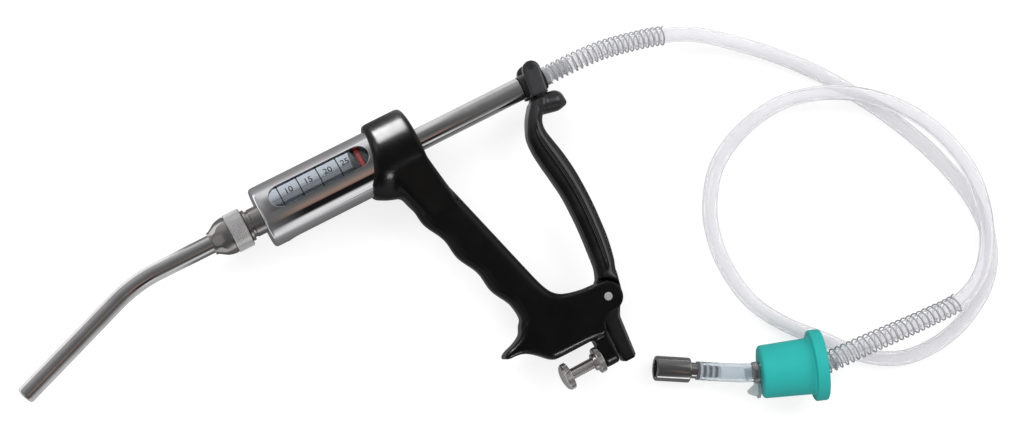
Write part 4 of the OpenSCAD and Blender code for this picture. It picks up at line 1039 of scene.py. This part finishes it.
def handle():
    """Blended skin, eased further under the collar, with its seats, clevis slot and holes cut out."""
    skin = cast_blend(handle_solids(), voxel=0.00055, rounds=18)
    skin = softened(skin, centre=GUN @ Vector((74, -21, 0)), reach=0.019, rounds=90)
    seat = drum(40, BARREL_LEN, SEAT_R, GUN, 128)
    bush = drum(82, 95, BUSH_SEAT_R, GUN, 96)
    pin = drum(-PIN_CUT, PIN_CUT, PIN_SEAT_R, PIVOT_PIN)
    slot_deep, past = 8.4, 60
    slot = box_mesh((PIVOT.x - slot_deep, PIVOT.y - past, -SLOT_W / 2),
                    (PIVOT.x + past, PIVOT.y + past, SLOT_W / 2))
    hole = drum(110, 140, DOSE_HOLE_R, DOSE_LINE)
    body = cut_away(skin, [seat, bush, pin, slot, hole])
    return piece("handle_body", body, BLACK_PAINT, "frame", ["handle_casting"], 40)


casting = handle()


# Lever

FORK = Vector((156.4, 0, 0))
LEVER_REACH = FORK.y - PIVOT.y
FORK_BEHIND = 17.6
FORK_PLACE = GUN @ Matrix.Translation(FORK) @ Matrix.Rotation(-math.atan(FORK_BEHIND / LEVER_REACH), 4, "Z")
PRONG_HALF, PRONG_T, PRONG_OUT, FORK_GAP = 4.7, 4.2, 8.6, 6.5
GROOVE_R, GROOVE_DEEP, GROOVE_LOW, GROOVE_HIGH, GROOVE_SIDES = 3.3, 3.2, -1.4, 2.5, (6.3, -9.5)
CHANNEL_DEEP, HUB_R, HUB_T, LEVER_BORE_R = 0.24, 8.0, 8.8, 2.35
# place along the lever, front and rear edges, in shares of its reach; thickness; depth of its channels
ARM = [(0.015, 0.074, 0.082, 9.6, 0), (0.05, 0.0575, 0.091, 12.4, 0), (0.07, 0.034, 0.0955, 13.2, 0),
       (0.085, 0.002, 0.099, 13.4, 0), (0.1, 0.006, 0.103, 13.4, 0), (0.138, 0.017, 0.116, 13.4, 0.7),
       (0.224, 0.026, 0.133, 13.4, 1), (0.31, 0.033, 0.141, 13.4, 1), (0.397, 0.036, 0.146, 13.4, 1),
       (0.483, 0.035, 0.146, 13.4, 1), (0.569, 0.025, 0.142, 13.4, 1), (0.655, 0.013, 0.131, 13.2, 1),
       (0.724, 0.007, 0.117, 12.9, 1), (0.784, 0.012, 0.106, 12.6, 0.7), (0.828, 0.03, 0.113, 13.2, 0.1),
       (0.871, 0.054, 0.144, 15.2, 0), (0.922, 0.094, 0.181, 17.2, 0)]
# one side of the arm's section: place from front to rear, shares of the thickness and of the channel
ARM_SECTION = [(-1, 0.3, 0), (-0.985, 0.58, 0.1), (-0.95, 0.8, 0.4), (-0.9, 0.92, 0.8), (-0.84, 0.97, 1),
               (-0.5, 1, 1), (-0.1, 1, 1), (0, 1, 1), (0.04, 1, 0.9), (0.08, 1, 0.15), (0.12, 1, 0),
               (0.28, 0.98, 0), (0.44, 0.93, 0), (0.59, 0.86, 0), (0.73, 0.76, 0), (0.85, 0.62, 0),
               (0.94, 0.44, 0), (1, 0.2, 0)]


def arm_mesh():
    """Bowed arm with a channel along each side."""
    bm, rings = bmesh.new(), []
    for y, front, rear, thick, deep in curve_through(ARM, 6):
        mid, half = (front + rear) / 2, (rear - front) / 2
        side = [Vector((PIVOT.x + LEVER_REACH * (mid + half * p), PIVOT.y + LEVER_REACH * y,
                        thick / 2 * (t - CHANNEL_DEEP * d * deep))) for p, t, d in ARM_SECTION]
        other = [Vector((p.x, p.y, -p.z)) for p in reversed(side)]
        rings.append([bm.verts.new(GUN @ p) for p in side + other])
    skin_rings(bm, rings, capped=True)
    return mesh_from(bm)


def prong(side):
    root, tip = -7.6, 5.9
    outline = [(-PRONG_HALF, root, 0.6), (PRONG_HALF, root, 0.6)]
    for a in [math.radians(15 * k) for k in range(13)]:
        outline.append((PRONG_HALF * math.cos(a), tip + PRONG_HALF * math.sin(a), 0.7))
    return pillow(outline, PRONG_T, 4, FORK_PLACE @ moved(0, 0, side * PRONG_OUT))


def hub_plate():
    """Plate between the clevis ears, with the tail below the pivot."""
    turns = [math.radians(t) for t in range(20, 121, 10)]
    outline = [(4.0, 16.5, 0.4), (1.6, 11.5, 0.4)]
    outline += [(-HUB_R * math.sin(t), HUB_R * math.cos(t), 0.5) for t in turns]
    outline += [(-7.6, -12, 0.6), (-7.6, -33.2, 0.8), (-6.2, -34.5, 0.8), (-1.4, -34.5, 0.8), (0, -33.2, 0.8),
                (1.9, -12, 0.8), (4.2, -7.8, 0.5), (7.2, -5, 0.5), (9, 0, 0.5), (10.8, 8, 0.5),
                (12, 16.5, 0.4)]
    return pillow([(PIVOT.x + x, PIVOT.y + y, edge) for x, y, edge in outline], HUB_T, 3)


def lever():
    """Arm, hub, thumb horn and fork in one skin, with the pivot's hole and the fork's grooves cut out."""
    horn = tongue([((FORK.x - 1.4, -11.7, 0), 5.8), ((FORK.x + 6, -13.5, 0), 5.6),
                   ((FORK.x + 9.6, -16, 0), 2.4)], 1.35)
    neck = tongue([((FORK.x - 1.8, -12.4, 0), 4.6), ((FORK.x - 0.6, -10.6, 0), 4.6)], 1.9)
    skin = cast_blend([arm_mesh(), hub_plate(), horn, neck, prong(-1), prong(1)], voxel=0.00045, rounds=5)
    hole = drum(-PIN_CUT, PIN_CUT, LEVER_BORE_R, PIVOT_PIN)
    gap = box_mesh((-12, -7.2, -FORK_GAP), (12, 14, FORK_GAP), FORK_PLACE)
    # the trunnions slide along grooves in the prongs as the lever swings
    grooves = [drum(z, z + GROOVE_DEEP, GROOVE_R, FORK_PLACE @ moved(0, slid, 0) @ Z_FROM_X, 32)
               for z in GROOVE_SIDES for slid in (GROOVE_LOW, GROOVE_HIGH)]
    grooves += [box_mesh((-GROOVE_R, GROOVE_LOW, z), (GROOVE_R, GROOVE_HIGH, z + GROOVE_DEEP), FORK_PLACE)
                for z in GROOVE_SIDES]
    body = cut_away(skin, [hole, gap, *grooves])
    return piece("lever_body", body, LEVER_PAINT, "lever", ["lever"], 42)


def fork_screws():
    """Slotted screw at the tip of each prong."""
    head = eased([(0, 0), (0, 1.4), (4.2, 1.4, 0.1), (4.2, 1.9, 0.1), (4.55, 1.9, 0.3), (4.7, 0)], 4)
    screws = []
    for side in (-1, 1):
        spot = FORK_PLACE @ moved(0, 7.7, side * FORK_GAP) @ spun(-90 * side, "Y")
        slot = box_mesh((4.45, -3, -0.22), (6, 3, 0.22), spot)
        screws.append(cut_away(turned(head, spot, 32), [slot]))
    piece("fork_screw_heads", joined(screws), LEVER_PAINT, "lever", ["fork_screws"], 30)


def pivot_rivet():
    pin = eased([(-9.25, 0), (-9.25, 1.7, 0.3), (-8.9, 2.28, 0.4), (8.9, 2.28, 0.4), (9.25, 1.7, 0.3),
                 (9.25, 0)])
    piece("pivot_rivet", turned(pin, PIVOT_PIN, 48), RIVET, "frame", ["pivot_pin"])


def return_coil():
    """Torsion spring on the pivot: a leg, a turn and a quarter, and the other leg."""
    r, low, pitch, wire = 3.8, 1.0, 1.6, 0.5
    line = [Vector((-12.06, -r, low)), Vector((-6.0, -r, low))]
    for a in [math.radians(-90 + 10 * k) for k in range(46)]:
        level = low + pitch * (a + math.pi / 2) / (2 * math.pi)
        line.append(Vector((r * math.cos(a), r * math.sin(a), level)))
    line.append(Vector((r, 10.6, low + pitch * 1.25)))
    stations = [(p, h, wire) for p, h in zip(line, headings(line))]
    stations = [(*stations[0][:2], 0)] + stations + [(*stations[-1][:2], 0)]
    mesh = swept(stations, GUN @ Matrix.Translation(PIVOT), 10)
    piece("return_coil", mesh, WIRE, "lever", ["return_spring"])


hand_lever = lever()
fork_screws()
pivot_rivet()
return_coil()


# Dose screw and its lock nut

def dose_adjuster():
    head_r, shank_r, nut_r, nut_bore_r = 7.0, 2.8, 6.8, 3.05
    nut_gap, nut_long, shank_shown = 0.3, 5, 13.4
    nut_rear = LUG_FRONT - nut_gap
    nut_front = nut_rear - nut_long
    head = nut_front - shank_shown
    screw = eased([(head - 5, 0), (head - 4.9, 3.0, 0.6), (head - 4.2, 5.8, 1.4), (head - 3.0, head_r, 0.8),
                   (head, head_r, 0.6), (head, shank_r, 0.3), (130.3, shank_r, 0.4), (130.9, 2.0, 0.2),
                   (130.9, 0)], 5)
    thread = coil([DOSE_LINE @ Vector((head + 0.6 + 0.5 * k, 0, 0)) for k in range(58)], turns=27,
                  start=0.00272, end=0.00272, wire=0.00028, material=PLATED)
    nut = eased([(nut_front, nut_bore_r), (nut_front, 4.6, 0.4), (nut_front + 1.6, 4.6, 0.3),
                 (nut_front + 1.7, nut_r, 0.5), (nut_rear - 0.1, nut_r, 0.5), (nut_rear, 6.0, 0.2),
                 (nut_rear, nut_bore_r)])
    head_rim = rim_ridges(DOSE_LINE, head - 1.55, count=64, radius=6.95, ridge=2.3, height=0.34, width=0.55)
    nut_rim = rim_ridges(DOSE_LINE, nut_front + 3.3, count=60, radius=6.76, ridge=2.3, height=0.34,
                         width=0.58)
    screw_body, nut_body = turned(screw, DOSE_LINE), turned(nut, DOSE_LINE)
    return [piece("dose_screw_body", screw_body, PLATED, "dose_screw", ["dose_screw"]),
            piece("dose_screw_thread", thread, PLATED, "dose_screw"),
            piece("dose_screw_knurl", head_rim, PLATED, "dose_screw", sharp=20),
            piece("dose_nut_body", nut_body, PLATED, "dose_lock_nut", ["dose_lock_nut"]),
            piece("dose_nut_knurl", nut_rim, PLATED, "dose_lock_nut", sharp=20)]


dose_pieces = dose_adjuster()


# Plunger and valve springs

def plunger_tube():
    rod_r, end_r, bore_r = 6.0, 4.5, 2.5
    rod = eased([(65.4, bore_r), (65.4, end_r, 0.4), (72.4, end_r, 0.1), (72.4, rod_r, 0.4),
                 (149.2, rod_r, 0.3), (149.9, 5.4, 0.2), (149.9, end_r, 0.1), (156.9, end_r, 0.4),
                 (156.9, bore_r)])
    piece("plunger_tube", turned(rod), TUBE_CHROME, "plunger", ["plunger_rod"])


def valve_coil(name, first, last, turns, stands_for):
    """Spring that is squeezed by its own ball."""
    gap, steps = 0.3, 20
    free = last - first - 2 * gap
    line = [GUN @ Vector((first + gap + free * k / steps, 0, 0)) for k in range(steps + 1)]
    wound = coil(line, turns, start=0.0023, end=0.0023, wire=0.0003, material=WIRE)
    spring = piece(name, wound, WIRE, None, [stands_for])
    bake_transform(spring)


plunger_tube()
valve_coil("outlet_coil", -12.85, -5.95, 3.2, "outlet_valve_spring")
valve_coil("inlet_coil", 56.95, 60.8, 1.6, "inlet_valve_spring")


# Finishes of the nodes that the frame itself shows

for material, shown in ((GLASS, ["glass_cylinder"]), (BRASS, ["rod_bush", "outlet_valve_cage"]),
                        (SEAL_BLACK, ["front_seal", "rear_seal", "rod_wiper", "nozzle_washer"]),
                        (CHROME, ["outlet_valve_ball", "inlet_valve_ball"]), (RED_RING, ["piston_o_rings"]),
                        (PISTON_BLACK, ["piston", "piston_cap"]), (LEVER_PAINT, ["crosshead"]),
                        (WIRE, ["hose_barb"]), (SUCTION_CLEAR, ["stopper_pipe"]), (TURNED, ["strainer"])):
    for name in shown:
        nodes[name].data.materials.clear()
        nodes[name].data.materials.append(material)


# Studio

def ray_kinds(tree):
    """Masks of the rays that look straight or through glass, off a mirror, and through glass only."""
    ray = add(tree, "ShaderNodeLightPath").outputs
    through = ray["Is Transmission Ray"]
    seen = maths(tree, "MAXIMUM", ray["Is Camera Ray"], through)
    mirrored = maths(tree, "SUBTRACT", ray["Is Glossy Ray"], through, use_clamp=True)
    return seen, mirrored, through


def bare_tree(holder):
    holder.use_nodes = True
    holder.node_tree.nodes.clear()
    return holder.node_tree


def white_floor():
    half = 6
    floor = loose("floor", bpy.data.meshes.new("floor"))
    corners = [(-half, -half, 0), (half, -half, 0), (half, half, 0), (-half, half, 0)]
    floor.data.from_pydata(corners, [], [(0, 1, 2, 3)])
    made = bpy.data.materials.new("floor_white")
    tree = bare_tree(made)
    seen, mirrored, through = ray_kinds(tree)
    spot = add(tree, "ShaderNodeSeparateXYZ", [(0, object_place(tree))]).outputs
    run, aside = ranged(tree, spot["X"], -0.2, 0.2), ranged(tree, spot["Y"], -0.4, 0.6)
    # what polished metal sees in the floor, side to side of the nozzle, of the barrel and of the rod
    ahead = ramp(tree, aside, ((0, 0.6), (0.44, 0.6), (0.47, 1.15), (1, 1.15)))
    beside = ramp(tree, aside, ((0, 0.6), (0.22, 0.4), (0.355, 0.2), (0.418, 0.13), (0.45, 0.1),
                                (0.514, 0.22), (0.58, 0.34), (0.72, 0.55), (1, 0.7)))
    behind = ramp(tree, aside, ((0, 0.2), (0.43, 0.2), (0.5, 0.85), (1, 0.85)))
    at_barrel = ramp(tree, run, ((0, 0), (0.33, 0), (0.36, 1), (1, 1)))
    at_rod = ramp(tree, run, ((0, 0), (0.66, 0), (0.7, 1), (1, 1)))
    card = mixed(tree, at_rod, mixed(tree, at_barrel, ahead, beside), behind)
    sheen = maths(tree, "MULTIPLY", card, mirrored)
    # the floor seen through the sight windows lies in the barrel's own shade
    below = ramp(tree, aside, ((0, 1), (0.45, 1), (0.462, 0.3), (0.4685, 0.36), (0.47, 0.4), (0.4712, 0.22),
                               (0.475, 0.2), (0.4765, 0.6), (0.48, 0.75), (0.484, 0.9), (0.49, 1), (1, 1)))
    under = ramp(tree, run, ((0, 0), (0.44, 0), (0.46, 1), (0.66, 1), (0.68, 0), (1, 0)))
    shaded = mixed(tree, maths(tree, "MULTIPLY", under, through), opaque(1), below)
    pale = maths(tree, "MULTIPLY", seen, shaded)
    paper_glow, matt_white, lost_in_mirrors = 0.72, 0.36, 0.3
    glow = add(tree, "ShaderNodeEmission", [
        ("Strength", maths(tree, "MULTIPLY_ADD", pale, paper_glow, sheen))])
    matt = maths(tree, "MULTIPLY_ADD", mirrored, -lost_in_mirrors, matt_white)
    lit = add(tree, "ShaderNodeBsdfDiffuse", [("Color", maths(tree, "MULTIPLY", matt, shaded))])
    both = add(tree, "ShaderNodeAddShader", [(0, glow.outputs[0]), (1, lit.outputs[0])])
    add(tree, "ShaderNodeOutputMaterial", [("Surface", both.outputs[0])])
    floor.data.materials.append(made)


def tent_world():
    """White to the eye, soft to matt surfaces; polished metal sees a grey tent."""
    scene.world = bpy.data.worlds.new("studio")
    tree = bare_tree(scene.world)
    seen, mirrored, _ = ray_kinds(tree)
    looking = add(tree, "ShaderNodeTexCoord").outputs["Generated"]
    way = add(tree, "ShaderNodeSeparateXYZ", [(0, looking)]).outputs
    across, reach = ranged(tree, way["Y"], -1.0, 1.0), ranged(tree, way["X"], -1.0, 1.0)
    # a grey ceiling with a dark flag over the barrel, and pale walls at both ends
    flagged = ramp(tree, across, (
        (0, 0.8), (0.027, 0.95), (0.05, 0.6), (0.062, 0.14), (0.076, 0.012), (0.185, 0.006),
        (0.2, (0.2, 0.13, 0.1)), (0.235, (0.34, 0.23, 0.18)), (0.3, (0.3, 0.22, 0.18)),
        (0.36, (0.2, 0.175, 0.165)), (0.42, 0.14), (0.5, 0.1), (0.6, 0.12), (0.693, 0.156), (0.782, 0.18),
        (0.861, 0.234), (0.926, 0.42), (0.973, 0.8), (1, 0.85)))
    plain = ramp(tree, across, (
        (0, 0.9), (0.03, 0.4), (0.074, 0.17), (0.139, 0.13), (0.218, 0.12), (0.307, 0.15), (0.5, 0.16),
        (0.693, 0.22), (0.782, 0.3), (0.861, 0.4), (0.926, 0.43), (0.973, 0.5), (1, 0.7)))
    over = ramp(tree, reach, ((0, 0), (0.495, 0), (0.515, 1), (0.562, 1), (0.574, 0), (1, 0)))
    ends = ramp(tree, reach, ((0, 0.3), (0.18, 0.25), (0.3, 0), (0.72, 0), (0.86, 1), (1, 1)))
    low = ramp(tree, across, ((0, 0), (0.24, 0), (0.34, 1), (0.66, 1), (0.76, 0), (1, 0)))
    roof = mixed(tree, over, plain, flagged)
    tent = mixed(tree, maths(tree, "MULTIPLY", ends, low), roof, opaque(0.8))
    light_kinds = ((opaque(1), 1.0), (opaque(1), 0.62), (tent, 1.0))
    white, soft, shiny = (
        add(tree, "ShaderNodeBackground", [("Color", tone), ("Strength", strength)]).outputs[0]
        for tone, strength in light_kinds)
    plainly = add(tree, "ShaderNodeMixShader", [(0, seen), (1, soft), (2, white)])
    whole = add(tree, "ShaderNodeMixShader", [(0, mirrored), (1, plainly.outputs[0]), (2, shiny)])
    add(tree, "ShaderNodeOutputWorld", [("Surface", whole.outputs[0])])


def lamps():
    """Three soft lamps for the whole object, and strips that only shine in the pieces linked to them."""
    middle, arm = Vector((0, -0.02, 0)), GUN @ Vector((150, -60, 0))
    collar, foot = GUN @ Vector((75, 11.6, 15.5)), GUN @ Vector((118, -130, 0))
    dose, sinker = GUN @ Vector((110, -143, 0)), GUN @ Vector((160, -170, -14))
    for name, where, aim, size, power, spread, shines_on in (
            ("key", (-0.35, 0.9, 0.95), middle, (0.9, 0.5), 9.0, 180, ()),
            ("fill", (0.9, 0.15, 0.9), middle, (0.7, 0.7), 5.0, 180, ()),
            ("front", (-0.5, -0.9, 0.8), middle, (0.7, 0.4), 3.0, 180, ()),
            ("collar_strip", (0.09, 0.403, 0.18), collar, (0.084, 0.3), 4.6, 180, [casting]),
            ("foot_strip", (0.16, -0.52, 0.3), foot, (0.24, 0.2), 0.05, 14, [casting]),
            ("dose_strip", (0.0, 0.25, 0.39), dose, (0.3, 0.07), 0.17, 180, dose_pieces),
            ("lever_strip", (0.56, 0.0, 0.6), arm, (0.6, 0.5), 2.6, 180, [hand_lever]),
            ("sinker_strip", (-0.05, -0.45, 0.06), sinker, (0.5, 0.08), 0.25, 180, [suction[1]]),
            ("lever_edge", (-0.5, 0.0, 0.3), arm, (0.3, 0.5), 0.9, 180, [hand_lever])):
        lamp = bpy.data.lights.new(name, "AREA")
        lamp.shape, lamp.energy, lamp.spread = "RECTANGLE", power, math.radians(spread)
        lamp.size, lamp.size_y = size
        obj = loose(name, lamp)
        obj.location = where
        obj.rotation_euler = (aim - Vector(where)).to_track_quat("-Z", "Y").to_euler()
        obj.visible_glossy, obj.visible_diffuse = bool(shines_on), not shines_on
        obj.visible_transmission = False
        if shines_on:
            lit_only = bpy.data.collections.new(name + "_shines_on")
            for lit in shines_on:
                lit_only.objects.link(lit)
            obj.light_linking.receiver_collection = lit_only


white_floor()
tent_world()
lamps()
scene.view_settings.view_transform = "Standard"
